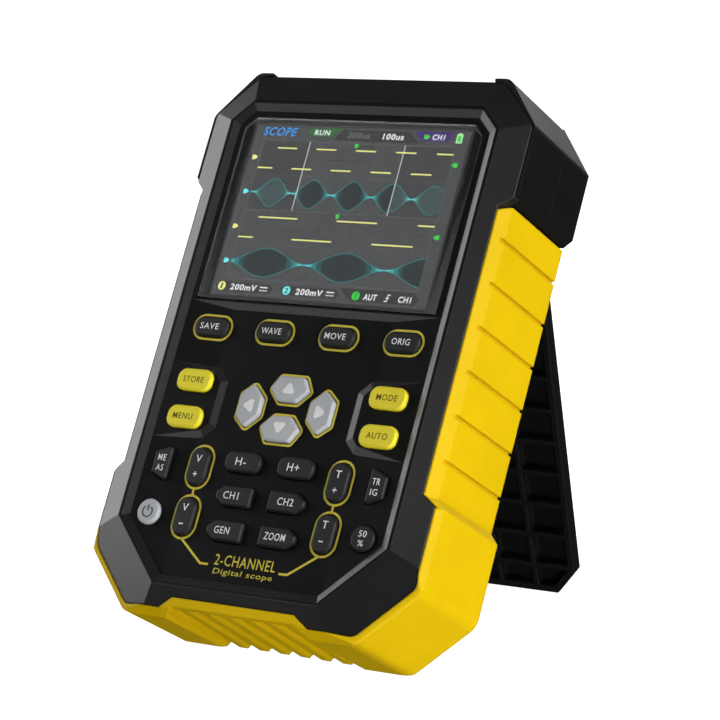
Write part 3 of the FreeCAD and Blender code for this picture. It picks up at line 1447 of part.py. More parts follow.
def make_charging_socket():
    """A flat oval shell with a tongue in its mouth, on the back of the board."""
    row, half, thick = sizes("socket_row", "socket_half", "socket_thick")
    middle = -(size("board_back") + thick * 0.5)
    face, length, metal, end = sizes("socket_face", "socket_long", "socket_metal", "socket_end")
    outer = oval("socket_outer", row, middle, half, thick * 0.5, -face, length)
    inner = oval("socket_inner", row, middle, half - metal, thick * 0.5 - metal, -face - OVER,
                 length + OVER - end)
    side, thin = half - "tongue_side", size("tongue_half")
    tongue = block("socket_tongue", -face + "tongue_in", -face + length - end,
                   row - side, row + side, middle - thin, middle + thin)
    node("usb_c_socket", fuse("socket_solid", [cut("socket_shell", outer, [inner]), tongue]))


def oval(name, y, z, half, radius, left, length):
    """A rod along X with an oval section: half its width along Y, radius half its height along Z."""
    run = size(half) - radius
    left = size(left)
    return fuse(name, [
        rod(name + "_low", left, size(y) - run, z, radius, length, "x"),
        rod(name + "_high", left, size(y) + run, z, radius, length, "x"),
        block(name + "_middle", left, left + length, size(y) - run, size(y) + run,
              size(z) - radius, size(z) + radius),
    ])


def make_battery():
    top, bottom, front, back = sizes("battery_top", "battery_bottom", "battery_front", "battery_back")
    half = size("battery_half")
    node("battery_pack", prism(
        "battery", rectangle(-half, half, -bottom, -top), -back, -front, "battery_round"
    ))
    side = half - "tape_side"
    node("battery_pad", prism(
        "tape", rectangle(-side, side, -bottom + "tape_end", -top - "tape_end"),
        -(size("recess_floor") - "wall"), -back,
    ))
    radius, level, row = sizes("wire_radius", "wire_level", "wire_row")
    plug_back = size("board_back") + "plug_thick"
    wires = []
    for i, way in enumerate((1, -1), start=1):
        x = size("wire_apart") * way
        corner = DOC.addObject("Part::Sphere", "wire_corner_%d" % i)
        corner.setExpression("Radius", radius.formula)
        place(corner, x, -row, -level)
        wires.append(fuse("wire_%d" % i, [
            rod("wire_out_%d" % i, x, -top, -level, radius, top - row, "y"),
            corner,
            rod("wire_in_%d" % i, x, -row, -level, radius, level - plug_back),
        ]))
    node("battery_wires", fuse("wires", wires))
    node("battery_connector", prism(
        "plug", oblong(0, -row, "plug_half", "plug_high"), -plug_back, -size("board_back")
    ))


def rib_line(number, y):
    """Where the middle of a lengthwise rib is, at a height from the hinge; -2 and 2 are the edges."""
    return (stand_half_at(y) - "rib_margin") * (number * 0.5)


def stand_pocket(row, column):
    """One of the hollows between the stand's ribs, as a cutting tool; the first row is cut short."""
    rib = size("rib_wide") * 0.5
    low = size("rib_pitch") * row - "rib_first" + rib
    high = low + "rib_pitch" - "rib_wide"
    short = size(0.0)
    if row == 0:
        low = -size("rib_foot") + rib
        short = size("rib_short")
    left_short = short if column == RIB_COLUMNS[0] else 0.0
    right_short = short if column == RIB_COLUMNS[-1] else 0.0
    outline = [
        (rib_line(column, high) + rib, high),
        (rib_line(column + 1, high) - rib, high),
        (rib_line(column + 1, low) - rib - right_short, low),
        (rib_line(column, low) + rib + left_short, low),
    ]
    return prism(
        "stand_pocket_%d_%d" % (row + 1, column + 3), outline,
        -size("stand_outer") + "stand_skin", size("stand_inner") + OVER,
    )


def make_stand():
    """The stand, drawn shut about its hinge, then swung open and its foot ground flat on the floor."""
    half, heel, toe = sizes("stand_half", "stand_heel", "stand_toe")
    inner, outer = sizes("stand_inner", "stand_outer")
    top_half = stand_top_half()
    outline = both_sides([
        (top_half, heel),
        (top_half, -size("stand_straight")),
        (half, size("toe_leg") - toe),
        (half - "toe_cut", -toe),
    ])
    plate = prism("stand_plate", outline, -outer, inner)
    barrel = rod("stand_barrel", -top_half, 0, 0, outer, top_half * 2, "x")
    bore_half = top_half + OVER
    tools = [rod("stand_bore", -bore_half, 0, 0, size("pin_radius") + "pin_run", bore_half * 2, "x")]
    tools += [stand_pocket(row, column) for row in range(RIB_ROWS) for column in RIB_COLUMNS]
    swung = cut("stand_swung", fuse("stand_joined", [plate, barrel]), tools)
    swung.Placement = FreeCAD.Placement(
        FreeCAD.Vector(), FreeCAD.Rotation(FreeCAD.Vector(1, 0, 0), size("stand_open").number)
    )
    swung.setExpression("Placement.Rotation.Angle", "dims.stand_open")
    place(swung, 0, "pivot_up", -size("pivot_deep"))
    node("kick_stand", cut("stand_solid", swung, [floor_cutter("stand_floor")]))
    pin = new_body("pin")
    half = size("pin_half")
    add_disc(pin, "pin_round", "pivot_up", -size("pivot_deep"), "pin_radius", -half, half, "YZ_Plane")
    node("hinge_pin", pin)


def finish():
    DOC.recompute()
    bad = [thing.Name for thing in DOC.Objects if "Invalid" in thing.State or "Error" in thing.State]
    if bad:
        raise RuntimeError("features that failed: " + ", ".join(bad))
    os.makedirs("parts", exist_ok=True)
    for label, thing in NODES.items():
        shape = thing.Shape
        if shape.isNull() or not shape.isValid():
            raise RuntimeError("not a sound solid: " + label)
        shape.exportStep("parts/%s.step" % label)
    print(len(NODES), "sub-parts written")


make_front_bezel()
make_front_housing()
make_rear_housing()
make_boot()
make_display()
make_flex()
make_keys()
make_mat()
make_board()
make_connector_panel()
make_jacks()
make_charging_socket()
make_battery()
make_fixings()
make_stand()
finish()
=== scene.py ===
"""Looks of a handheld oscilloscope that leans back on its kick stand, built round its CAD frame.

Places on the instrument are given in its own face frame, in millimetres: across to the right, up the
face, and out of it, from the middle of the display's grid.
"""
import json
import math

import bmesh
import bpy
from mathutils import Matrix, Vector


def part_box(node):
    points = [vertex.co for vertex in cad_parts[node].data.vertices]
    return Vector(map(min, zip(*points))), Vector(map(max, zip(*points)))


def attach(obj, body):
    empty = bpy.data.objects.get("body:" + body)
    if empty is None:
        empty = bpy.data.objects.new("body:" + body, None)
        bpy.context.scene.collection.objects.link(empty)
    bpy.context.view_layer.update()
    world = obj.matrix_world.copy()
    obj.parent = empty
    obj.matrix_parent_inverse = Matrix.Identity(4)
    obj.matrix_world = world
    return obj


MM = 0.001

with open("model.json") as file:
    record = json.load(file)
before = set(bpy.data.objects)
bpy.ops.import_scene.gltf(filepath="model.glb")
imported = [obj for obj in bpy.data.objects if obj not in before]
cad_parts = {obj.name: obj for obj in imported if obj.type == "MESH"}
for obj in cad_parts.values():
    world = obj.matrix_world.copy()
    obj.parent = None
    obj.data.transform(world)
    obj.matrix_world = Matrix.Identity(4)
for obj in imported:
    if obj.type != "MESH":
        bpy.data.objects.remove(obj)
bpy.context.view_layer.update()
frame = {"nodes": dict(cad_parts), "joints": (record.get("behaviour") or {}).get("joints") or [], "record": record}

# The face frame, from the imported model.

JOINTS = {joint["name"]: joint for joint in frame["joints"]}
INWARD = Vector(JOINTS["key_menu_press"]["axis"]).normalized()
RIGHT = Vector((1.0, 0.0, 0.0))
UP = Vector((0.0, -INWARD.z, INWARD.y))
OUT = -INWARD
LCD_MIDDLE_DEPTH = 1.375  # how far the crystal panel's middle lies behind the face frame's origin
lcd_low, lcd_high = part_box("lcd_panel")
FACE = (lcd_low + lcd_high) / 2 + OUT * LCD_MIDDLE_DEPTH * MM


def at(across, up, out=0.0):
    """A point of the face frame, in the row frame and metres."""
    return FACE + (RIGHT * across + UP * up + OUT * out) * MM


def face_matrix(across, up, out):
    """The matrix of something drawn in millimetres in the face frame, with its origin at a place."""
    turn = Matrix((RIGHT, UP, OUT)).transposed().to_4x4()
    return Matrix.Translation(at(across, up, out)) @ turn @ Matrix.Scale(MM, 4)


# Surface of the key panel, as the CAD has it.

PANEL_LEVEL = -0.25
KEYS_LEVEL = -0.75
PANEL_HALF = 35.35
FOLD_HALF = 22.5
LEDGE_TOP = -24.0
LEDGE_RUN = 1.8


def panel_surface(across, up):
    """Height of the bezel's panel, away from the raised pads."""
    share = (abs(across) - FOLD_HALF) / (PANEL_HALF - FOLD_HALF)
    wing = KEYS_LEVEL + (PANEL_LEVEL - KEYS_LEVEL) * min(max(share, 0.0), 1.0)
    share = (up - LEDGE_TOP + LEDGE_RUN) / LEDGE_RUN
    ledge = KEYS_LEVEL + (PANEL_LEVEL - KEYS_LEVEL) * min(max(share, 0.0), 1.0)
    return max(wing, ledge)


def level(height):
    """A flat surface at one height."""
    return lambda across, up: height


# Materials.

def add_node(tree, kind, **settings):
    """A shader node; a setting in capitals is an input, with _ for a space, and any other is a property."""
    made = tree.nodes.new(kind)
    for name, value in settings.items():
        if name[0].isupper():
            made.inputs[name.replace("_", " ")].default_value = value
        else:
            setattr(made, name, value)
    return made


def arithmetic(tree, operation, first, second, clamp=False):
    """The result of an operation on two values, each a number or a socket."""
    made = add_node(tree, "ShaderNodeMath", operation=operation, use_clamp=clamp)
    for index, value in enumerate((first, second)):
        if isinstance(value, (int, float)):
            made.inputs[index].default_value = value
        else:
            tree.links.new(value, made.inputs[index])
    return made.outputs[0]


def ramp(tree, value, low, high, to_low, to_high):
    """The value, mapped from one range to another and clamped."""
    made = add_node(tree, "ShaderNodeMapRange", From_Min=low, From_Max=high, To_Min=to_low, To_Max=to_high)
    tree.links.new(value, made.inputs["Value"])
    return made.outputs["Result"]


def blend_color(tree, share, first, second):
    """Mixes two colours, each four numbers or a socket."""
    made = add_node(tree, "ShaderNodeMix", data_type="RGBA")
    tree.links.new(share, made.inputs[0])
    for index, value in ((6, first), (7, second)):
        if isinstance(value, (tuple, list)):
            made.inputs[index].default_value = value
        else:
            tree.links.new(value, made.inputs[index])
    return made.outputs[2]


def shade(color, factor):
    """The colour made darker or lighter, as four numbers."""
    return tuple(min(channel * factor, 1.0) for channel in color) + (1.0,)


def alignment(tree, first, second):
    """How nearly two directions agree, from -1 to 1; the second is a socket or a vector."""
    made = add_node(tree, "ShaderNodeVectorMath", operation="DOT_PRODUCT")
    tree.links.new(first, made.inputs[0])
    if isinstance(second, Vector):
        made.inputs[1].default_value = second
    else:
        tree.links.new(second, made.inputs[1])
    return made.outputs["Value"]


def noise(tree, coordinates, scale, detail=2.0, rough=0.5):
    """Smooth noise between 0 and 1; the scale is in patches per metre."""
    made = add_node(tree, "ShaderNodeTexNoise", Scale=scale, Detail=detail, Roughness=rough)
    tree.links.new(coordinates, made.inputs["Vector"])
    return made.outputs["Fac"]


# Grain is in bumps per metre and its depth in mm. The edge is the radius in mm that edges are shaded with, vary is
# how uneven the colour is, and the paling of the edges is how much paler they are painted: a painted highlight
# along the edges, patchy like light scuffing.

FINISHES = {
    "satin": dict(rough=0.34, specular=0.50, grain=2600, depth=0.020, vary=0.10, highlight_and_wear=0.14, edge=0.45),
    "matte": dict(rough=0.52, specular=0.25, grain=2200, depth=0.030, vary=0.12, highlight_and_wear=0.10, edge=0.30),
    "panel": dict(rough=0.48, specular=0.08, grain=2200, depth=0.030, vary=0.12, highlight_and_wear=0.10, edge=0.30),
    "rubber": dict(rough=0.50, specular=0.10, grain=1900, depth=0.022, vary=0.04, highlight_and_wear=0.10, edge=0.75),
    "key": dict(rough=0.46, specular=0.30, grain=3000, depth=0.012, vary=0.06, highlight_and_wear=0.14, edge=0.35),
    "print": dict(rough=0.45, specular=0.20, grain=4000, depth=0.006, vary=0.06, highlight_and_wear=0.0, edge=0.0),
    "gloss": dict(rough=0.12, specular=0.50, grain=900, depth=0.002, vary=0.05, highlight_and_wear=0.05, edge=0.15),
    "metal": dict(
        rough=0.24, specular=0.50, metal=1.0, grain=1500, depth=0.006, vary=0.08, highlight_and_wear=0.10, edge=0.12,
    ),
    "brushed": dict(
        rough=0.38, specular=0.50, metal=1.0, grain=1200, depth=0.010, vary=0.12, highlight_and_wear=0.10, edge=0.10,
    ),
}
PATCHES_PER_METRE = 55.0
PATCH_LIMITS = (0.35, 0.65)
SMEARS_PER_METRE = 240.0
SMEAR_LIMITS = (0.40, 0.62)
LEAST_HIGHLIGHT_AND_WEAR = 0.25
EDGE_FACING = (0.86, 0.985)
HIGHLIGHT_AND_WEAR_GAIN = 1.6
HIGHLIGHT_AND_WEAR_LIFT = 0.05
PANEL_FACING = (0.985, 0.998)
PANEL_SPECULAR = 0.15
SMEAR_ROUGHNESS = 0.10
GRAIN_ROUGHNESS = 0.06
MEAN_ROUGHNESS = (SMEAR_ROUGHNESS + GRAIN_ROUGHNESS) / 2
BUMP_STRENGTH = 0.8


def surface_material(name, color, finish, panel=None):
    """A surface with moulded or machined grain, uneven colour, and rounded edges painted paler as a painted
    highlight, patchy like light scuffing.

    With a panel colour, the parts that lie parallel to the instrument's face are dull and of that colour.
    """
    look = FINISHES[finish]
    material = bpy.data.materials.new(name)
    material.use_nodes = True
    tree = material.node_tree
    tree.nodes.clear()
    output = add_node(tree, "ShaderNodeOutputMaterial")
    principled = add_node(tree, "ShaderNodeBsdfPrincipled")
    principled.inputs["Metallic"].default_value = look.get("metal", 0.0)
    principled.inputs["Specular IOR Level"].default_value = look["specular"]
    coordinates = add_node(tree, "ShaderNodeTexCoord").outputs["Object"]
    grain = noise(tree, coordinates, look["grain"], 3.0, 0.6)
    patches = noise(tree, coordinates, PATCHES_PER_METRE, 3.0)
    smears = noise(tree, coordinates, SMEARS_PER_METRE, 4.0, 0.65)

    base = blend_color(
        tree,
        ramp(tree, patches, *PATCH_LIMITS, 0.0, 1.0),
        shade(color, 1.0 - look["vary"]),
        shade(color, 1.0 + look["vary"]),
    )
    normal = None
    if look["edge"] > 0:
        bevel = add_node(tree, "ShaderNodeBevel", samples=6, Radius=look["edge"] * MM)
        normal = bevel.outputs["Normal"]
        flat = add_node(tree, "ShaderNodeNewGeometry").outputs["Normal"]
        # painted highlight: the edges are painted paler and less saturated, in patches like light scuffing
        edge = ramp(tree, alignment(tree, normal, flat), *EDGE_FACING, look["highlight_and_wear"], 0.0)
        edge_highlight_and_wear = arithmetic(tree, "MULTIPLY", edge, ramp(tree, smears, *SMEAR_LIMITS, LEAST_HIGHLIGHT_AND_WEAR, 1.0))
        lighter = tuple(min(channel * HIGHLIGHT_AND_WEAR_GAIN + HIGHLIGHT_AND_WEAR_LIFT, 1.0) for channel in color) + (1.0,)
        base = blend_color(tree, edge_highlight_and_wear, base, lighter)
    if panel:
        true_normal = add_node(tree, "ShaderNodeNewGeometry").outputs["True Normal"]
        outward = alignment(tree, true_normal, OUT)
        share = ramp(tree, outward, *PANEL_FACING, 0.0, 1.0)
        base = blend_color(tree, share, base, shade(panel, 1.0))
        specular = ramp(tree, outward, *PANEL_FACING, look["specular"], PANEL_SPECULAR)
        tree.links.new(specular, principled.inputs["Specular IOR Level"])
    tree.links.new(base, principled.inputs["Base Color"])

    smeared = arithmetic(tree, "MULTIPLY", smears, SMEAR_ROUGHNESS)
    grained = arithmetic(tree, "MULTIPLY", grain, GRAIN_ROUGHNESS)
    rough = arithmetic(tree, "ADD", look["rough"] - MEAN_ROUGHNESS, smeared)
    rough = arithmetic(tree, "ADD", rough, grained, clamp=True)
    tree.links.new(rough, principled.inputs["Roughness"])
    bump = add_node(tree, "ShaderNodeBump", Strength=BUMP_STRENGTH, Distance=look["depth"] * MM)
    tree.links.new(grain, bump.inputs["Height"])
    if normal is not None:
        tree.links.new(normal, bump.inputs["Normal"])
    tree.links.new(bump.outputs["Normal"], principled.inputs["Normal"])
    tree.links.new(principled.outputs["BSDF"], output.inputs["Surface"])
    return material


GLASS_COLOR = (0.96, 0.98, 0.99, 1.0)
GLASS_INDEX = 1.48
MARKS_PER_METRE = 90.0
MARK_LIMITS = (0.5, 0.8)
MARK_ROUGHNESS = 0.06


def glass_material(name):
    """Clear moulded glass with faint handling marks."""
    material = bpy.data.materials.new(name)
    material.use_nodes = True
    tree = material.node_tree
    principled = tree.nodes["Principled BSDF"]
    principled.inputs["Base Color"].default_value = GLASS_COLOR
    principled.inputs["Transmission Weight"].default_value = 1.0
    principled.inputs["IOR"].default_value = GLASS_INDEX
    coordinates = add_node(tree, "ShaderNodeTexCoord").outputs["Object"]
    marks = noise(tree, coordinates, MARKS_PER_METRE, 5.0, 0.7)
    tree.links.new(ramp(tree, marks, *MARK_LIMITS, 0.0, MARK_ROUGHNESS), principled.inputs["Roughness"])
    return material


GLOW_VARY = 0.18
CELLS_PER_METRE = 2500.0
UNLIT_COLOR = (0.001, 0.001, 0.001, 1.0)


def glow_material(name, color, strength):
    """Part of the display's picture: black glass that shines in one colour, a little unevenly."""
    material = bpy.data.materials.new(name)
    material.use_nodes = True
    tree = material.node_tree
    principled = tree.nodes["Principled BSDF"]
    principled.inputs["Base Color"].default_value = UNLIT_COLOR
    principled.inputs["Specular IOR Level"].default_value = 0.0
    principled.inputs["Roughness"].default_value = 0.5
    coordinates = add_node(tree, "ShaderNodeTexCoord").outputs["Object"]
    cells = noise(tree, coordinates, CELLS_PER_METRE, 1.0)
    tree.links.new(
        blend_color(tree, cells, shade(color, 1.0 - GLOW_VARY), shade(color, 1.0 + GLOW_VARY)),
        principled.inputs["Emission Color"],
    )
    principled.inputs["Emission Strength"].default_value = strength
    return material


# For each slot of the CAD's record: its colour, its finish and, for the bezel, its panel's colour.

SLOT_LOOKS = {
    "bezel_black": ((0.0150, 0.0150, 0.0153), "satin", (0.0064, 0.0064, 0.0066)),
    "shell_black": ((0.0048, 0.0048, 0.0050), "matte"),
    "panel_black": ((0.0060, 0.0060, 0.0063), "panel"),
    "boot_yellow": ((0.840, 0.555, 0.003), "rubber"),
    "stand_black": ((0.0042, 0.0042, 0.0044), "matte"),
    "adhesive_black": ((0.004, 0.004, 0.004), "matte"),
    "screen_black": ((0.0015, 0.0015, 0.0018), "gloss"),
    "frame_steel": ((0.60, 0.61, 0.62), "brushed"),
    "flex_amber": ((0.42, 0.17, 0.02), "gloss"),
    "foam_grey": ((0.06, 0.06, 0.06), "rubber"),
    "connector_ivory": ((0.72, 0.66, 0.52), "matte"),
    "web_grey": ((0.10, 0.10, 0.10), "key"),
    "board_green": ((0.01, 0.10, 0.035), "gloss"),
    "chip_black": ((0.012, 0.012, 0.012), "matte"),
    "can_tin": ((0.70, 0.71, 0.72), "brushed"),
    "jack_nickel": ((0.74, 0.72, 0.68), "metal"),
    "insulator_white": ((0.80, 0.80, 0.77), "key"),
    "contact_gold": ((0.85, 0.58, 0.20), "metal"),
    "socket_steel": ((0.62, 0.62, 0.63), "brushed"),
    "battery_wrap": ((0.02, 0.06, 0.22), "gloss"),
    "wire_red": ((0.45, 0.02, 0.01), "key"),
    "screw_steel": ((0.10, 0.10, 0.11), "brushed"),
    "insert_brass": ((0.70, 0.50, 0.20), "metal"),
    "pin_steel": ((0.62, 0.62, 0.63), "brushed"),
    "key_dark": ((0.016, 0.017, 0.017), "key"),
    "key_yellow": ((1.000, 0.830, 0.035), "key"),
    "key_light": ((0.540, 0.560, 0.590), "key"),
}
MATERIALS = {slot: surface_material(slot, *look) for slot, look in SLOT_LOOKS.items()}
MATERIALS["lens_clear"] = glass_material("lens_clear")
PRINT_YELLOW = surface_material("print_yellow", (0.760, 0.640, 0.070), "print")
PRINT_WHITE = surface_material("print_white", (0.960, 0.960, 0.960), "print")
PRINT_OLIVE = surface_material("print_olive", (0.150, 0.115, 0.008), "print")
PRINT_GREY = surface_material("print_grey", (0.035, 0.035, 0.036), "print")

for part in frame["record"]["subparts"]:
    cad = frame["nodes"][part["node"]]
    cad.data.materials.clear()
    cad.data.materials.append(MATERIALS[part["material_slot"]])


# Meshes drawn in the face frame.

LIFT = 0.03  # how far printed lines stand up
SINK = 0.02  # how far they reach into the surface
NEARLY_STRAIGHT = 0.01
TOUCHING = 1e-4
LEAST_MITRE = 0.35
MOST_OF_SIDE = 0.499


def rounded(corners, radius, steps):
    """The outline with its corners turned into arcs."""
    points = []
    count = len(corners)
    for i, corner in enumerate(corners):
        here = Vector(corner)
        back = (Vector(corners[i - 1]) - here).normalized()
        forward = (Vector(corners[(i + 1) % count]) - here).normalized()
        half = math.acos(max(-1.0, min(1.0, back.dot(forward)))) / 2
        if half > math.pi / 2 - NEARLY_STRAIGHT:
            points.append(here)
            continue
        reach = min(
            radius / math.tan(half),
            MOST_OF_SIDE * (Vector(corners[i - 1]) - here).length,
            MOST_OF_SIDE * (Vector(corners[(i + 1) % count]) - here).length,
        )
        centre = here + (back + forward).normalized() * (reach / math.cos(half))
        start, end = here + back * reach, here + forward * reach
        angle = math.atan2(*(start - centre).yx)
        turn = math.atan2(*(end - centre).yx) - angle
        turn = (turn + math.pi) % (2 * math.pi) - math.pi
        arc = (start - centre).length
        for step in range(steps + 1):
            now = angle + turn * step / steps
            points.append(centre + Vector((math.cos(now), math.sin(now))) * arc)
    return points


def box_corners(across, up, half, high):
    """The corners of a rectangle from its middle, half its width and half its height."""
    return [(across - half, up + high), (across + half, up + high),
            (across + half, up - high), (across - half, up - high)]


def dense(points, closed, step=0.6):
    """The same line with points at least every step, so that it can follow a folded surface."""
    ends = points[1:] + points[:1] if closed else points[1:]
    result = []
    for start, end in zip(points, ends):
        start, end = Vector(start), Vector(end)
        parts = max(1, math.ceil((end - start).length / step))
        result += [start.lerp(end, i / parts) for i in range(parts)]
    if not closed:
        result.append(Vector(points[-1]))
    return result


def without_repeats(points):
    """The points as vectors, without any that lie on the one before."""
    kept = []
    for point in points:
        point = Vector(point)
        if not kept or (point - kept[-1]).length > TOUCHING:
            kept.append(point)
    if len(kept) > 2 and (kept[0] - kept[-1]).length < TOUCHING:
        kept.pop()
    return kept


def add_strip(mesh, points, width, surface, closed=False, lift=LIFT, sink=SINK):
    """A flat band along a line: a closed solid that lies on a surface."""
    points = without_repeats(dense(without_repeats(points), closed))
    count = len(points)
    sections = []
    for i, here in enumerate(points):
        before = points[i - 1] if closed or i > 0 else here
        after = points[(i + 1) % count] if closed or i < count - 1 else here
        arriving = (here - before).normalized() if (here - before).length > 0 else None
        leaving = (after - here).normalized() if (after - here).length > 0 else None
        arriving, leaving = arriving or leaving, leaving or arriving
        along = (arriving + leaving).normalized()
        side = Vector((-along.y, along.x))
        stretch = width / 2 / max(LEAST_MITRE, side.dot(Vector((-leaving.y, leaving.x))))
        section = []
        for way, height in ((1, lift), (-1, lift), (-1, -sink), (1, -sink)):
            spot = here + side * (stretch * way)
            section.append(mesh.verts.new(at(spot.x, spot.y, surface(spot.x, spot.y) + height)))
        sections.append(section)
    spans = range(count) if closed else range(count - 1)
    for i in spans:
        first, second = sections[i], sections[(i + 1) % count]
        for side in range(4):
            following = (side + 1) % 4
            mesh.faces.new((first[side], first[following], second[following], second[side]))
    if not closed:
        mesh.faces.new(reversed(sections[0]))
        mesh.faces.new(sections[-1])


def add_plate(mesh, outline, height, thick):
    """A flat plate with the given outline, from a height up."""
    outline = without_repeats(outline)
    low = [mesh.verts.new(at(x, y, height)) for x, y in outline]
    high = [mesh.verts.new(at(x, y, height + thick)) for x, y in outline]
    mesh.faces.new(high)
    mesh.faces.new(list(reversed(low)))
    for i in range(len(outline)):
        following = (i + 1) % len(outline)
        mesh.faces.new((low[i], low[following], high[following], high[i]))


def new_piece(name, mesh, material, body="case"):
    """An object from a bmesh, riding on a CAD body."""
    bmesh.ops.recalc_face_normals(mesh, faces=mesh.faces[:])
    data = bpy.data.meshes.new(name)
    mesh.to_mesh(data)
    mesh.free()
    show(name, data, material, body)


def show(name, data, material, body):
    """Puts a mesh into the scene with its material, riding on a CAD body."""
    data.materials.clear()
    data.materials.append(material)
    made = bpy.data.objects.new(name, data)
    bpy.context.scene.collection.objects.link(made)
    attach(made, body)


LETTER_SPACING = 1.12
LEGEND_THICK = 0.05


def letters(name, text, place, high, width, material, body="case",
            slant=0.0, bold=0.003, thick=LEGEND_THICK):
    """Raised lettering centred on a place (across, up, out), of a given height and width in mm."""
    curve = bpy.data.curves.new(name + "_curve", "FONT")
    curve.body = text
    curve.align_x = "CENTER"
    curve.shear = slant
    curve.offset = bold
    curve.extrude = 0.5  # each way, so that it is one thick before it is scaled
    curve.resolution_u = 3
    curve.space_character = LETTER_SPACING
    source = bpy.data.objects.new(name + "_source", curve)
    bpy.context.scene.collection.objects.link(source)
    data = bpy.data.meshes.new_from_object(source.evaluated_get(bpy.context.evaluated_depsgraph_get()))
    bpy.data.objects.remove(source)
    bpy.data.curves.remove(curve)
    data.name = name
    xs = [vertex.co.x for vertex in data.vertices]
    ys = [vertex.co.y for vertex in data.vertices]
    middle = Vector(((min(xs) + max(xs)) / 2, (min(ys) + max(ys)) / 2, 0.0))
    tall = high / (max(ys) - min(ys))
    wide = width / (max(xs) - min(xs))
    scale = Matrix.Diagonal((wide, tall, thick, 1.0))
    data.transform(face_matrix(*place) @ scale @ Matrix.Translation(-middle))
    show(name, data, material, body)


# Printed lines on the panel.

OUTLINE_WIDE = 0.55
SOFT_ROW = -30.7
SOFT_COLUMNS = (-26.9, -9.0, 9.0, 26.9)
SOFT_HALF, SOFT_HIGH, SOFT_ROUND = 5.3, 3.0, 2.9
SCALE_COLUMN = 19.6
SCALE_ROWS = (-65.15, -77.4)
SCALE_HALF, SCALE_HIGH, SCALE_ROUND = 3.35, 5.25, 3.3
LINK_TOP, LINK_FOOT = -70.35, -72.2
TAIL = ((19.4, -82.5), (12.2, -87.8), (9.9, -87.8))
ROUND_STEPS = 10
ARROW_MIDDLE = -49.25
ARROW_GAP = 0.52
ARROW_ROUND = 1.1
ARROW_WIDENING = (0.5, 1.15, 0.6)
TYPE_ACROSS = 0.2
TYPE_BOLD = 0.004
TYPE_LINES = [
    # name, words, up, height, width, slant
    ("name", "2-CHANNEL", -86.4, 2.6, 17.0, 0.0),
    ("words", "Digital scope", -89.3, 1.75, 16.6, 0.10),
]

# The three pairs of corners of an arrow key: how far out from the middle they lie, and half their width.

UPRIGHT_ARROW = ((1.75, 4.65, 7.95), (2.45, 5.45, 3.4))
SIDEWAYS_ARROW = ((6.75, 10.1, 13.15), (2.15, 5.4, 2.8))


def arrow_outline(way, upright, grow):
    """The six corners round an arrow key, grown by a little."""
    ahead, half = UPRIGHT_ARROW if upright else SIDEWAYS_ARROW
    ahead = (ahead[0] - grow, ahead[1], ahead[2] + grow)
    half = [width + grow * share for width, share in zip(half, ARROW_WIDENING)]
    sides = [(ahead[i], half[i]) for i in range(3)] + [(ahead[i], -half[i]) for i in (2, 1, 0)]
    if upright:
        return [(side, ARROW_MIDDLE + along * way) for along, side in sides]
    return [(along * way, ARROW_MIDDLE + side) for along, side in sides]


def make_panel_print():
    """The yellow loops round the keys, the lines that join them, and the two lines of words."""
    mesh = bmesh.new()
    for column in SOFT_COLUMNS:
        loop = rounded(box_corners(column, SOFT_ROW, SOFT_HALF, SOFT_HIGH), SOFT_ROUND, ROUND_STEPS)
        add_strip(mesh, loop, OUTLINE_WIDE, panel_surface, closed=True)
    for way in (1, -1):
        for upright in (True, False):
            loop = rounded(arrow_outline(way, upright, ARROW_GAP), ARROW_ROUND, 4)
            add_strip(mesh, loop, OUTLINE_WIDE, panel_surface, closed=True)
        column = SCALE_COLUMN * way
        for row in SCALE_ROWS:
            loop = rounded(box_corners(column, row, SCALE_HALF, SCALE_HIGH), SCALE_ROUND, ROUND_STEPS)
            add_strip(mesh, loop, OUTLINE_WIDE, panel_surface, closed=True)
        add_strip(mesh, [(column, LINK_TOP), (column, LINK_FOOT)], OUTLINE_WIDE, panel_surface)
        tail = [(across * way, up) for across, up in TAIL]
        add_strip(mesh, tail, OUTLINE_WIDE, panel_surface)
    new_piece("print_key_loops", mesh, PRINT_YELLOW)
    for name, text, up, high, width, slant in TYPE_LINES:
        letters("print_type_" + name, text, (TYPE_ACROSS, up, KEYS_LEVEL), high, width, PRINT_YELLOW,
                slant=slant, bold=TYPE_BOLD, thick=LIFT * 2)


# Legends on the keys.

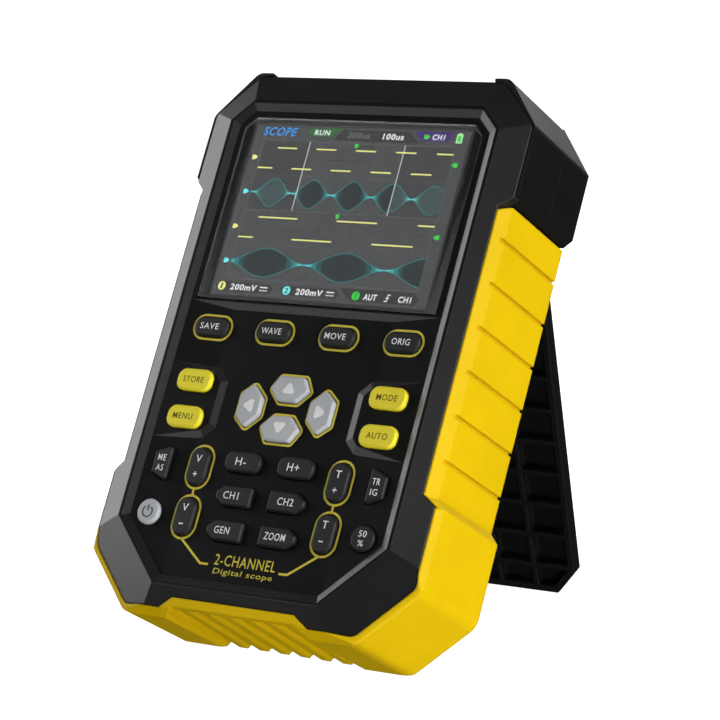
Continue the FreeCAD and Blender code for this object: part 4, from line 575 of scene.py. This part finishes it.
KEY_TOP = 0.5
SIDE_KEY_TOP = 0.9
LEGENDS = [
    # key, words, across, up, height, width
    ("key_save_picture", "SAVE", -27.2, -30.7, 1.55, 5.4),
    ("key_save_wave", "WAVE", -9.3, -30.7, 1.55, 5.6),
    ("key_move", "MOVE", 8.7, -30.7, 1.55, 5.8),
    ("key_origin", "ORIG", 26.7, -30.7, 1.55, 4.9),
    ("key_memory", "STORE", -27.2, -44.4, 1.5, 5.9),
    ("key_menu", "MENU", -27.4, -53.6, 1.5, 5.6),
    ("key_mode", "MODE", 27.2, -44.4, 1.5, 5.6),
    ("key_auto", "AUTO", 27.2, -53.6, 1.5, 5.6),
    ("key_time_down", "H-", -7.7, -63.0, 1.9, 2.9),
    ("key_time_up", "H+", 7.0, -63.0, 1.9, 3.3),
    ("key_channel_1", "CH1", -7.9, -71.3, 1.8, 4.2),
    ("key_channel_2", "CH2", 7.4, -71.3, 1.8, 4.4),
    ("key_generator", "GEN", -7.8, -79.7, 1.75, 4.2),
    ("key_zoom", "ZOOM", 7.0, -79.7, 1.75, 5.8),
    ("key_volts_up", "V", -19.6, -63.4, 1.8, 1.6),
    ("key_volts_up", "+", -19.6, -67.2, 1.2, 1.2),
    ("key_volts_down", "V", -19.6, -75.4, 1.8, 1.6),
    ("key_volts_down", "-", -19.6, -79.4, 0.3, 1.2),
    ("key_level_up", "T", 19.6, -63.4, 1.8, 1.5),
    ("key_level_up", "+", 19.6, -67.2, 1.2, 1.2),
    ("key_level_down", "T", 19.6, -75.4, 1.8, 1.5),
    ("key_level_down", "-", 19.6, -79.4, 0.3, 1.2),
    ("key_measure", "ME", -30.1, -64.1, 1.55, 2.3),
    ("key_measure", "AS", -30.1, -66.6, 1.55, 2.1),
    ("key_trigger", "TR", 30.0, -64.1, 1.55, 2.1),
    ("key_trigger", "IG", 30.0, -66.6, 1.55, 1.9),
    ("key_half_level", "50", 30.0, -76.4, 1.5, 2.1),
    ("key_half_level", "%", 30.0, -78.6, 1.4, 1.6),
]
YELLOW_KEYS = ("key_memory", "key_menu", "key_mode", "key_auto")
ARROW_SIGNS = [
    # key, across, up, turn
    ("key_up", 0.0, -44.2, 0.0),
    ("key_down", 0.0, -54.0, math.pi),
    ("key_left", -10.1, -49.3, math.pi / 2),
    ("key_right", 10.1, -49.3, -math.pi / 2),
]
ARROW_SIGN = ((0.0, 1.65), (2.05, -1.40), (-2.05, -1.40))
ARROW_SIGN_ROUND = 0.55
POWER_ACROSS, POWER_UP, POWER_RADIUS = -30.0, -77.5, 1.35
POWER_LINE = 0.32
POWER_START, POWER_SWEEP, POWER_STEPS = 38, 284, 24
POWER_BAR = (0.2, 1.65)


def make_legends():
    """The words on the keys, the arrows and the power sign."""
    for number, (key, text, across, up, high, width) in enumerate(LEGENDS, start=1):
        yellow = key in YELLOW_KEYS
        place = (across, up, SIDE_KEY_TOP if yellow else KEY_TOP)
        ink = PRINT_OLIVE if yellow else PRINT_WHITE
        letters("legend_%02d_%s" % (number, key), text, place, high, width, ink, key + "_cap")
    for key, across, up, turn in ARROW_SIGNS:
        corners = [
            (across + x * math.cos(turn) - y * math.sin(turn), up + x * math.sin(turn) + y * math.cos(turn))
            for x, y in ARROW_SIGN
        ]
        mesh = bmesh.new()
        add_plate(mesh, rounded(corners, ARROW_SIGN_ROUND, 5), KEY_TOP, LEGEND_THICK)
        new_piece("legend_" + key, mesh, PRINT_WHITE, key + "_cap")
    mesh = bmesh.new()
    turns = [math.radians(POWER_START + POWER_SWEEP * i / POWER_STEPS) for i in range(POWER_STEPS + 1)]
    arc = [
        (POWER_ACROSS + POWER_RADIUS * math.sin(turn), POWER_UP + POWER_RADIUS * math.cos(turn))
        for turn in turns
    ]
    bar = [(POWER_ACROSS, POWER_UP + end) for end in POWER_BAR]
    add_strip(mesh, arc, POWER_LINE, level(KEY_TOP), lift=LEGEND_THICK)
    add_strip(mesh, bar, POWER_LINE, level(KEY_TOP), lift=LEGEND_THICK)
    new_piece("legend_key_power", mesh, PRINT_GREY, "key_power_cap")


# The display's picture, between the liquid crystal panel and the lens.

PICTURE = -0.745  # height of the picture's lowest layer
LAYER = 0.006  # distance between layers
FLAT = LAYER * 0.5  # thickness of everything in a layer
WORD_LAYER = 5
GRID_HALF = 27.0
GRID_HIGH = 18.0
DIVISION = 4.5
DIVISIONS = 12
GRID_LINE = 0.10
BRIGHT_LINE = 0.15
DOTS_ACROSS = 60
DOTS_UP = 40
ROW_DOT = (0.14, 0.20)
COLUMN_DOT = (0.10, 0.14)
CURSORS = (-13.7, 13.3)
CURSOR_FOOT = 0.1
FINE_LINE = 0.22
TRACE_LINE = 0.36
WAVE_PERIOD = 11.3
WAVE_START = -22.7
WAVE_RISE = 2.65
SHORTEST_DASH = 0.3
NARROWEST_BEAT = 0.16
COLUMN_SLACK = 0.01
PICTURE_BOLD = 0.025
GLOWS = {
    # colour and strength
    "grid": ((0.040, 0.040, 0.042), 0.8),
    "grid_bright": ((0.12, 0.12, 0.125), 0.8),
    "shade": ((0.032, 0.032, 0.033), 1.0),
    "cursor": ((0.62, 0.62, 0.62), 1.0),
    "yellow": ((1.00, 0.92, 0.26), 1.0),
    "cyan": ((0.16, 0.86, 0.88), 1.0),
    "cyan_2": ((0.045, 0.400, 0.410), 1.0),
    "cyan_3": ((0.012, 0.170, 0.175), 1.0),
    "cyan_4": ((0.003, 0.060, 0.062), 1.0),
    "cyan_5": ((0.0005, 0.009, 0.010), 1.0),
    "cyan_edge": ((0.012, 0.190, 0.190), 1.0),
    "haze_2": ((0.090, 0.420, 0.430), 1.0),
    "haze_3": ((0.050, 0.200, 0.205), 1.0),
    "haze_4": ((0.036, 0.090, 0.092), 1.0),
    "haze_5": ((0.031, 0.058, 0.059), 1.0),
    "green": ((0.02, 0.62, 0.04), 1.0),
    "green_pale": ((0.40, 0.85, 0.42), 1.0),
    "tag_green": ((0.010, 0.120, 0.016), 1.0),
    "tag_grey": ((0.017, 0.017, 0.018), 1.0),
    "tag_purple": ((0.035, 0.004, 0.130), 1.0),
    "white": ((0.92, 0.92, 0.92), 1.0),
    "dim": ((0.13, 0.13, 0.13), 1.0),
    "blue": ((0.03, 0.27, 0.76), 1.0),
}
GLOW = {name: glow_material("glow_" + name, *look) for name, look in GLOWS.items()}


def picture_piece(name, glow, layer, draw):
    """One piece of the picture, in one colour, which a function draws at its layer's height."""
    mesh = bmesh.new()
    draw(mesh, PICTURE + layer * LAYER)
    new_piece("picture_" + name, mesh, GLOW[glow])


def line(mesh, height, points, width):
    """A line of the picture, from a height up."""
    add_strip(mesh, points, width, level(height), lift=FLAT, sink=0.0)


def plate(mesh, height, outline):
    """A filled shape of the picture, from a height up."""
    add_plate(mesh, outline, height, FLAT)


def words(name, text, across, up, high, width, glow, slant):
    """Words on the display, in the picture's top layer."""
    letters("picture_" + name, text, (across, up, PICTURE + WORD_LAYER * LAYER), high, width, GLOW[glow],
            slant=slant, bold=PICTURE_BOLD, thick=FLAT)


def envelope(across, middle, node, period, reach):
    """Upper and lower edge of the beating signal at a place."""
    swell = 0.5 - 0.5 * math.cos(2 * math.pi * (across - node) / period)
    high = NARROWEST_BEAT + reach * swell
    return middle + high, middle - high


def draw_grid(mesh, height):
    """The faint lines between the divisions."""
    for i in range(1, DIVISIONS):
        across = -GRID_HALF + DIVISION * i
        if i != DIVISIONS // 2:
            line(mesh, height, [(across, GRID_HIGH), (across, -GRID_HIGH)], GRID_LINE)
    for up in (DIVISION * 3, DIVISION, -DIVISION, -DIVISION * 3):
        line(mesh, height, [(-GRID_HALF, up), (GRID_HALF, up)], GRID_LINE)


def draw_bright_grid(mesh, height):
    """The grid's frame, the line across its middle and the three rows of dots."""
    for up in (GRID_HIGH, 0.0, -GRID_HIGH):
        line(mesh, height, [(-GRID_HALF, up), (GRID_HALF, up)], BRIGHT_LINE)
    for across in (-GRID_HALF, GRID_HALF):
        line(mesh, height, [(across, GRID_HIGH), (across, -GRID_HIGH)], BRIGHT_LINE)
    for up in (DIVISION * 2, -DIVISION * 2):
        for i in range(DOTS_ACROSS):
            across = -GRID_HALF + (i + 0.5) * 2 * GRID_HALF / DOTS_ACROSS
            plate(mesh, height, box_corners(across, up, *ROW_DOT))
    for i in range(DOTS_UP):
        up = -GRID_HIGH + (i + 0.5) * 2 * GRID_HIGH / DOTS_UP
        plate(mesh, height, box_corners(0.0, up, *COLUMN_DOT))


def draw_shade(mesh, height):
    """The grey ground of the overview, to both sides of its window."""
    for left, right in ((-GRID_HALF, CURSORS[0]), (CURSORS[1], GRID_HALF)):
        middle, half = (left + right) / 2, (right - left) / 2
        plate(mesh, height, box_corners(middle, GRID_HIGH / 2, half, GRID_HIGH / 2))


def draw_cursors(mesh, height):
    """The two lines that bound the overview's window."""
    for across in CURSORS:
        line(mesh, height, [(across, GRID_HIGH), (across, CURSOR_FOOT)], FINE_LINE)


def draw_square_wave(mesh, height):
    """The upper and lower halves of the square signal, in the overview and magnified below it."""
    for middle, period in ((13.5, WAVE_PERIOD), (-4.6, 2 * WAVE_PERIOD)):
        for rise, start in ((WAVE_RISE, WAVE_START), (-WAVE_RISE, WAVE_START - period / 2)):
            while start < GRID_HALF:
                left, right = max(start, -GRID_HALF), min(start + period / 2, GRID_HALF)
                if right - left > SHORTEST_DASH:
                    line(mesh, height, [(left, middle + rise), (right, middle + rise)], TRACE_LINE)
                start += period


BEATS = (
    # middle, node, period, reach
    (4.5, -26.4, WAVE_PERIOD, 3.5),
    (-13.5, -28.6, 2 * WAVE_PERIOD, 3.5),
)
BEAT_STEPS = 180


def beat_points(beat, side):
    """The upper (side 0) or lower (side 1) edge of a beating signal, from left to right."""
    columns = [-GRID_HALF + 2 * GRID_HALF * i / BEAT_STEPS for i in range(BEAT_STEPS + 1)]
    return [(across, envelope(across, *beat)[side]) for across in columns]


BEAT_LEVELS = (
    # least and greatest half thickness, and the number of its shade
    (0.00, 0.30, 1),
    (0.30, 0.58, 2),
    (0.58, 1.00, 3),
    (1.00, 1.65, 4),
    (1.65, 9.00, 5),
)


def beat_band(mesh, height, beat, left, right, thinnest, thickest):
    """The signal's filled shape between two columns, where its half thickness is within limits."""
    for (x0, top0), (x1, top1), (_, foot0), (_, foot1) in zip(
        beat_points(beat, 0), beat_points(beat, 0)[1:], beat_points(beat, 1), beat_points(beat, 1)[1:]
    ):
        thick = (top0 + top1 - foot0 - foot1) / 4
        inside = x0 >= left - COLUMN_SLACK and x1 <= right + COLUMN_SLACK
        if inside and thinnest <= thick < thickest:
            plate(mesh, height, [(x0, foot0), (x1, foot1), (x1, top1), (x0, top0)])


def beat_part(beat, left, right, thinnest, thickest):
    """A function that draws one such band."""
    return lambda mesh, height: beat_band(mesh, height, beat, left, right, thinnest, thickest)


def make_beats():
    """The beating signal, brighter where it is narrow and under the shaded ends of the upper trace."""
    parts = [
        ("upper", BEATS[0], CURSORS[0], CURSORS[1], "cyan"),
        ("lower", BEATS[1], -GRID_HALF, GRID_HALF, "cyan"),
        ("left", BEATS[0], -GRID_HALF, CURSORS[0], "haze"),
        ("right", BEATS[0], CURSORS[1], GRID_HALF, "haze"),
    ]
    for name, beat, left, right, family in parts:
        for thinnest, thickest, number in BEAT_LEVELS:
            glow = "cyan" if number == 1 else "%s_%d" % (family, number)
            picture_piece(
                "beat_%s_%d" % (name, number), glow, 2, beat_part(beat, left, right, thinnest, thickest)
            )


def draw_beat_edges(mesh, height):
    """The outlines of both beating signals."""
    for beat in BEATS:
        for side in (0, 1):
            line(mesh, height, beat_points(beat, side), FINE_LINE)


def marker(across, up, way):
    """A small pointed flag beside the grid; way 1 points right, -1 left and 0 down."""
    if way == 0:
        return [(across - 0.55, up + 0.6), (across + 0.55, up + 0.6), (across + 0.5, up - 0.1),
                (across, up - 0.6), (across - 0.5, up - 0.1)]
    return [(across - 0.8 * way, up + 0.6), (across + 0.1 * way, up + 0.6), (across + 0.85 * way, up),
            (across + 0.1 * way, up - 0.6), (across - 0.8 * way, up - 0.6)]


DISC_RADIUS = 1.1
DISC_STEPS = 24


def disc(across, up):
    """The round badge behind a channel's number."""
    turns = [2 * math.pi * i / DISC_STEPS for i in range(DISC_STEPS)]
    return [(across + DISC_RADIUS * math.cos(turn), up + DISC_RADIUS * math.sin(turn)) for turn in turns]


def coupling_sign(across):
    """The sign for direct coupling: a long dash over three short ones."""
    dashes = [box_corners(across, -19.8, 1.1, 0.16)]
    return dashes + [box_corners(across + step, -20.6, 0.28, 0.14) for step in (-0.8, 0.0, 0.8)]


def plates(*outlines):
    """A function that draws flat plates with these outlines."""
    def draw(mesh, height):
        for outline in outlines:
            plate(mesh, height, outline)
    return draw


# Words on the display: name, text, across, up, height, width, colour, slant.

DISPLAY_WORDS = [
    ("name", "SCOPE", -23.2, 20.4, 2.3, 9.8, "blue", 0.2),
    ("run", "RUN", -11.0, 20.5, 1.35, 4.4, "white", 0.06),
    ("time_base", "200us", -0.5, 20.1, 1.6, 6.4, "dim", 0.06),
    ("time_zoom", "100us", 9.3, 20.1, 1.6, 5.9, "white", 0.06),
    ("source", "CH1", 21.8, 20.4, 1.45, 3.4, "white", 0.06),
    ("volts_1", "200mV", -21.3, -20.1, 1.6, 7.7, "white", 0.06),
    ("volts_2", "200mV", -2.4, -20.2, 1.6, 7.7, "white", 0.06),
    ("trigger", "AUT", 14.7, -20.3, 1.55, 3.7, "white", 0.06),
    ("trigger_source", "CH1", 24.2, -20.3, 1.55, 3.5, "white", 0.06),
    ("one", "1", -27.7, -20.0, 1.4, 0.6, "tag_grey", 0.06),
    ("two", "2", -8.9, -20.1, 1.4, 0.9, "tag_grey", 0.06),
    ("letter", "T", 10.7, -20.2, 1.4, 0.9, "tag_green", 0.06),
]
RUN_TAG = [(-14.9, 21.7), (-5.4, 21.7), (-8.1, 19.5), (-14.5, 19.5)]
TIME_TAG = [(-5.2, 21.5), (13.7, 21.5), (16.6, 18.7), (-7.4, 18.7)]
SOURCE_TAG = [(14.8, 21.8), (25.8, 21.8), (24.8, 19.2), (17.4, 19.2)]
CHANNEL_TAGS = (
    [(-28.6, -18.9), (-14.2, -18.9), (-12.8, -20.0), (-13.6, -21.3), (-28.6, -21.3)],
    [(-10.1, -18.9), (4.7, -18.9), (6.2, -20.1), (5.2, -21.3), (-9.4, -21.3), (-10.8, -20.0)],
    [(5.8, -18.5), (26.2, -18.5), (28.0, -20.0), (26.9, -21.6), (9.6, -21.6)],
)
EDGE_SIGN = [(18.6, -21.0), (19.4, -21.0), (19.4, -19.4), (20.2, -19.4)]
EDGE_SIGN_BAR = [(18.9, -20.2), (19.9, -20.2)]
COUPLING_SIGNS = (-15.5, 3.5)


def make_picture():
    """All the pieces of the display's picture, each in its own layer."""
    picture_piece("shade", "shade", 0, draw_shade)
    picture_piece("grid", "grid", 1, draw_grid)
    picture_piece("grid_bright", "grid_bright", 1.5, draw_bright_grid)
    make_beats()
    picture_piece("cursors", "cursor", 3.6, draw_cursors)
    picture_piece("beat_edges", "cyan_edge", 2.8, draw_beat_edges)
    picture_piece("square_wave", "yellow", 4, draw_square_wave)
    picture_piece("marks_yellow", "yellow", 4, plates(
        marker(-28.6, 13.5, 1), marker(-28.6, -4.6, 1), disc(-27.7, -20.0)))
    picture_piece("marks_cyan", "cyan", 4, plates(
        marker(-28.4, 4.5, 1), marker(-28.4, -13.5, 1), disc(-8.9, -20.1)))
    picture_piece("marks_green", "green", 4.5, plates(
        marker(-0.3, 17.3, 0), marker(-0.3, -0.9, 0), marker(28.0, 13.5, -1), marker(28.2, -4.6, -1),
        marker(18.6, 20.4, 1), disc(10.7, -20.2), box_corners(27.5, 20.2, 0.40, 0.72)))
    picture_piece("battery", "green_pale", 3, plates(
        box_corners(27.5, 20.2, 0.85, 1.15), box_corners(27.5, 21.5, 0.35, 0.16)))
    picture_piece("tag_run", "tag_green", 1, plates(RUN_TAG))
    picture_piece("tag_time", "tag_grey", 1, plates(TIME_TAG))
    picture_piece("tag_source", "tag_purple", 1, plates(SOURCE_TAG))
    picture_piece("tag_channels", "tag_grey", 1, plates(*CHANNEL_TAGS))
    left_sign, right_sign = (coupling_sign(across) for across in COUPLING_SIGNS)
    picture_piece("signs", "white", WORD_LAYER, plates(*left_sign, *right_sign))
    mesh = bmesh.new()
    for points in (EDGE_SIGN, EDGE_SIGN_BAR):
        line(mesh, PICTURE + WORD_LAYER * LAYER, points, FINE_LINE)
    new_piece("picture_edge_sign", mesh, GLOW["white"])
    for entry in DISPLAY_WORDS:
        words(*entry)


make_panel_print()
make_legends()
make_picture()


# Light, floor and camera.

def area_light(name, direction, distance, wide, high, power):
    """A soft box that faces the instrument from a direction."""
    light = bpy.data.lights.new(name, "AREA")
    light.shape = "RECTANGLE"
    light.size = wide
    light.size_y = high
    light.energy = power
    made = bpy.data.objects.new(name, light)
    bpy.context.scene.collection.objects.link(made)
    away = Vector(direction).normalized()
    made.location = FACE + away * distance
    made.rotation_mode = "QUATERNION"
    made.rotation_quaternion = away.to_track_quat("Z", "Y")


PAPER_ROUGHNESS = 0.8
PAPER_PATCHES = 3.0
PAPER_VARY = 0.015


def stage_material(name, color, glow):
    """Matt paper that also shines a little, so that it stays pale away from the lights."""
    material = bpy.data.materials.new(name)
    material.use_nodes = True
    tree = material.node_tree
    principled = tree.nodes["Principled BSDF"]
    principled.inputs["Roughness"].default_value = PAPER_ROUGHNESS
    coordinates = add_node(tree, "ShaderNodeTexCoord").outputs["Object"]
    patches = noise(tree, coordinates, PAPER_PATCHES)
    tint = blend_color(tree, patches, shade(color, 1.0 - PAPER_VARY), shade(color, 1.0 + PAPER_VARY))
    tree.links.new(tint, principled.inputs["Base Color"])
    tree.links.new(tint, principled.inputs["Emission Color"])
    principled.inputs["Emission Strength"].default_value = glow
    return material


def stage_card(name, outlines, material):
    """A sheet of paper that the camera sees and that neither lights nor shades the instrument."""
    mesh = bmesh.new()
    for outline in outlines:
        mesh.faces.new([mesh.verts.new(corner) for corner in outline])
    data = bpy.data.meshes.new(name)
    mesh.to_mesh(data)
    mesh.free()
    data.materials.append(material)
    made = bpy.data.objects.new(name, data)
    bpy.context.scene.collection.objects.link(made)
    made.visible_diffuse = False
    made.visible_glossy = False
    made.visible_shadow = False


FLOOR_RADIUS = 2.2
FLOOR_LEVEL = -0.0002
FLOOR_COLOR = (0.42, 0.42, 0.42)
FLOOR_GLOW = 2.45
BACKDROP_RADIUS = 2.1
BACKDROP_LOW, BACKDROP_HIGH = -0.3, 2.2
BACKDROP_COLOR = (0.95, 0.95, 0.95)
BACKDROP_GLOW = 1.1
RING_STEP = 5  # degrees
WORLD_COLOR = (0.022, 0.022, 0.022, 1.0)
LIGHTS = [
    # name, direction from the face, distance, width and height in metres, watts
    ("side_key", (0.95, -0.20, 0.25), 1.3, 0.6, 0.8, 14.4),
    ("left_strip", (-0.96, -0.15, 0.24), 1.0, 0.8, 0.7, 6.4),
    ("front_top", (0.02, -0.78, 0.60), 1.5, 0.35, 0.3, 1.6),
    ("front_left", (-0.55, -0.83, 0.14), 1.1, 0.3, 0.3, 0.7),
    ("back_soft", (-0.20, 0.80, 0.56), 1.4, 0.9, 0.9, 13.0),
    ("floor_bounce", (0.60, -0.50, -0.62), 0.9, 0.35, 0.35, 3.5),
]

# The camera that took the photo, recovered from the display's grid and the edges of the boot and the stand.

LOOK = Vector((-0.5456, 0.8274, -0.1333)).normalized()
CAMERA_FROM_FACE = Vector((376.9, -562.3, 56.1)) * MM
CAMERA_LENS = 144.05
SENSOR_WIDTH = 36.0
NEAREST_SEEN = 0.05

# The floor is a disc and the backdrop a ring, both round the instrument.

around = [math.radians(RING_STEP * i) for i in range(360 // RING_STEP + 1)]
stage_card("floor", [
    [(FLOOR_RADIUS * math.cos(turn), FLOOR_RADIUS * math.sin(turn), FLOOR_LEVEL) for turn in around[:-1]]
], stage_material("floor_paper", FLOOR_COLOR, FLOOR_GLOW))
stage_card("backdrop", [
    [
        (BACKDROP_RADIUS * math.cos(turn), BACKDROP_RADIUS * math.sin(turn), height)
        for turn, height in (
            (here, BACKDROP_LOW), (here, BACKDROP_HIGH), (beyond, BACKDROP_HIGH), (beyond, BACKDROP_LOW),
        )
    ]
    for here, beyond in zip(around, around[1:])
], stage_material("backdrop_paper", BACKDROP_COLOR, BACKDROP_GLOW))

world = bpy.data.worlds.new("studio")
bpy.context.scene.world = world
world.use_nodes = True
world.node_tree.nodes["Background"].inputs["Color"].default_value = WORLD_COLOR
world.node_tree.nodes["Background"].inputs["Strength"].default_value = 1.0

for light in LIGHTS:
    area_light(*light)

camera = bpy.data.objects.new("camera", bpy.data.cameras.new("camera"))
bpy.context.scene.collection.objects.link(camera)
camera.data.lens = CAMERA_LENS
camera.data.sensor_width = SENSOR_WIDTH
camera.data.clip_start = NEAREST_SEEN
camera.location = FACE + CAMERA_FROM_FACE
camera.rotation_mode = "QUATERNION"
camera.rotation_quaternion = LOOK.to_track_quat("-Z", "Y")
bpy.context.scene.camera = camera
bpy.context.scene.view_settings.view_transform = "Standard"
bpy.context.scene.view_settings.look = "None"
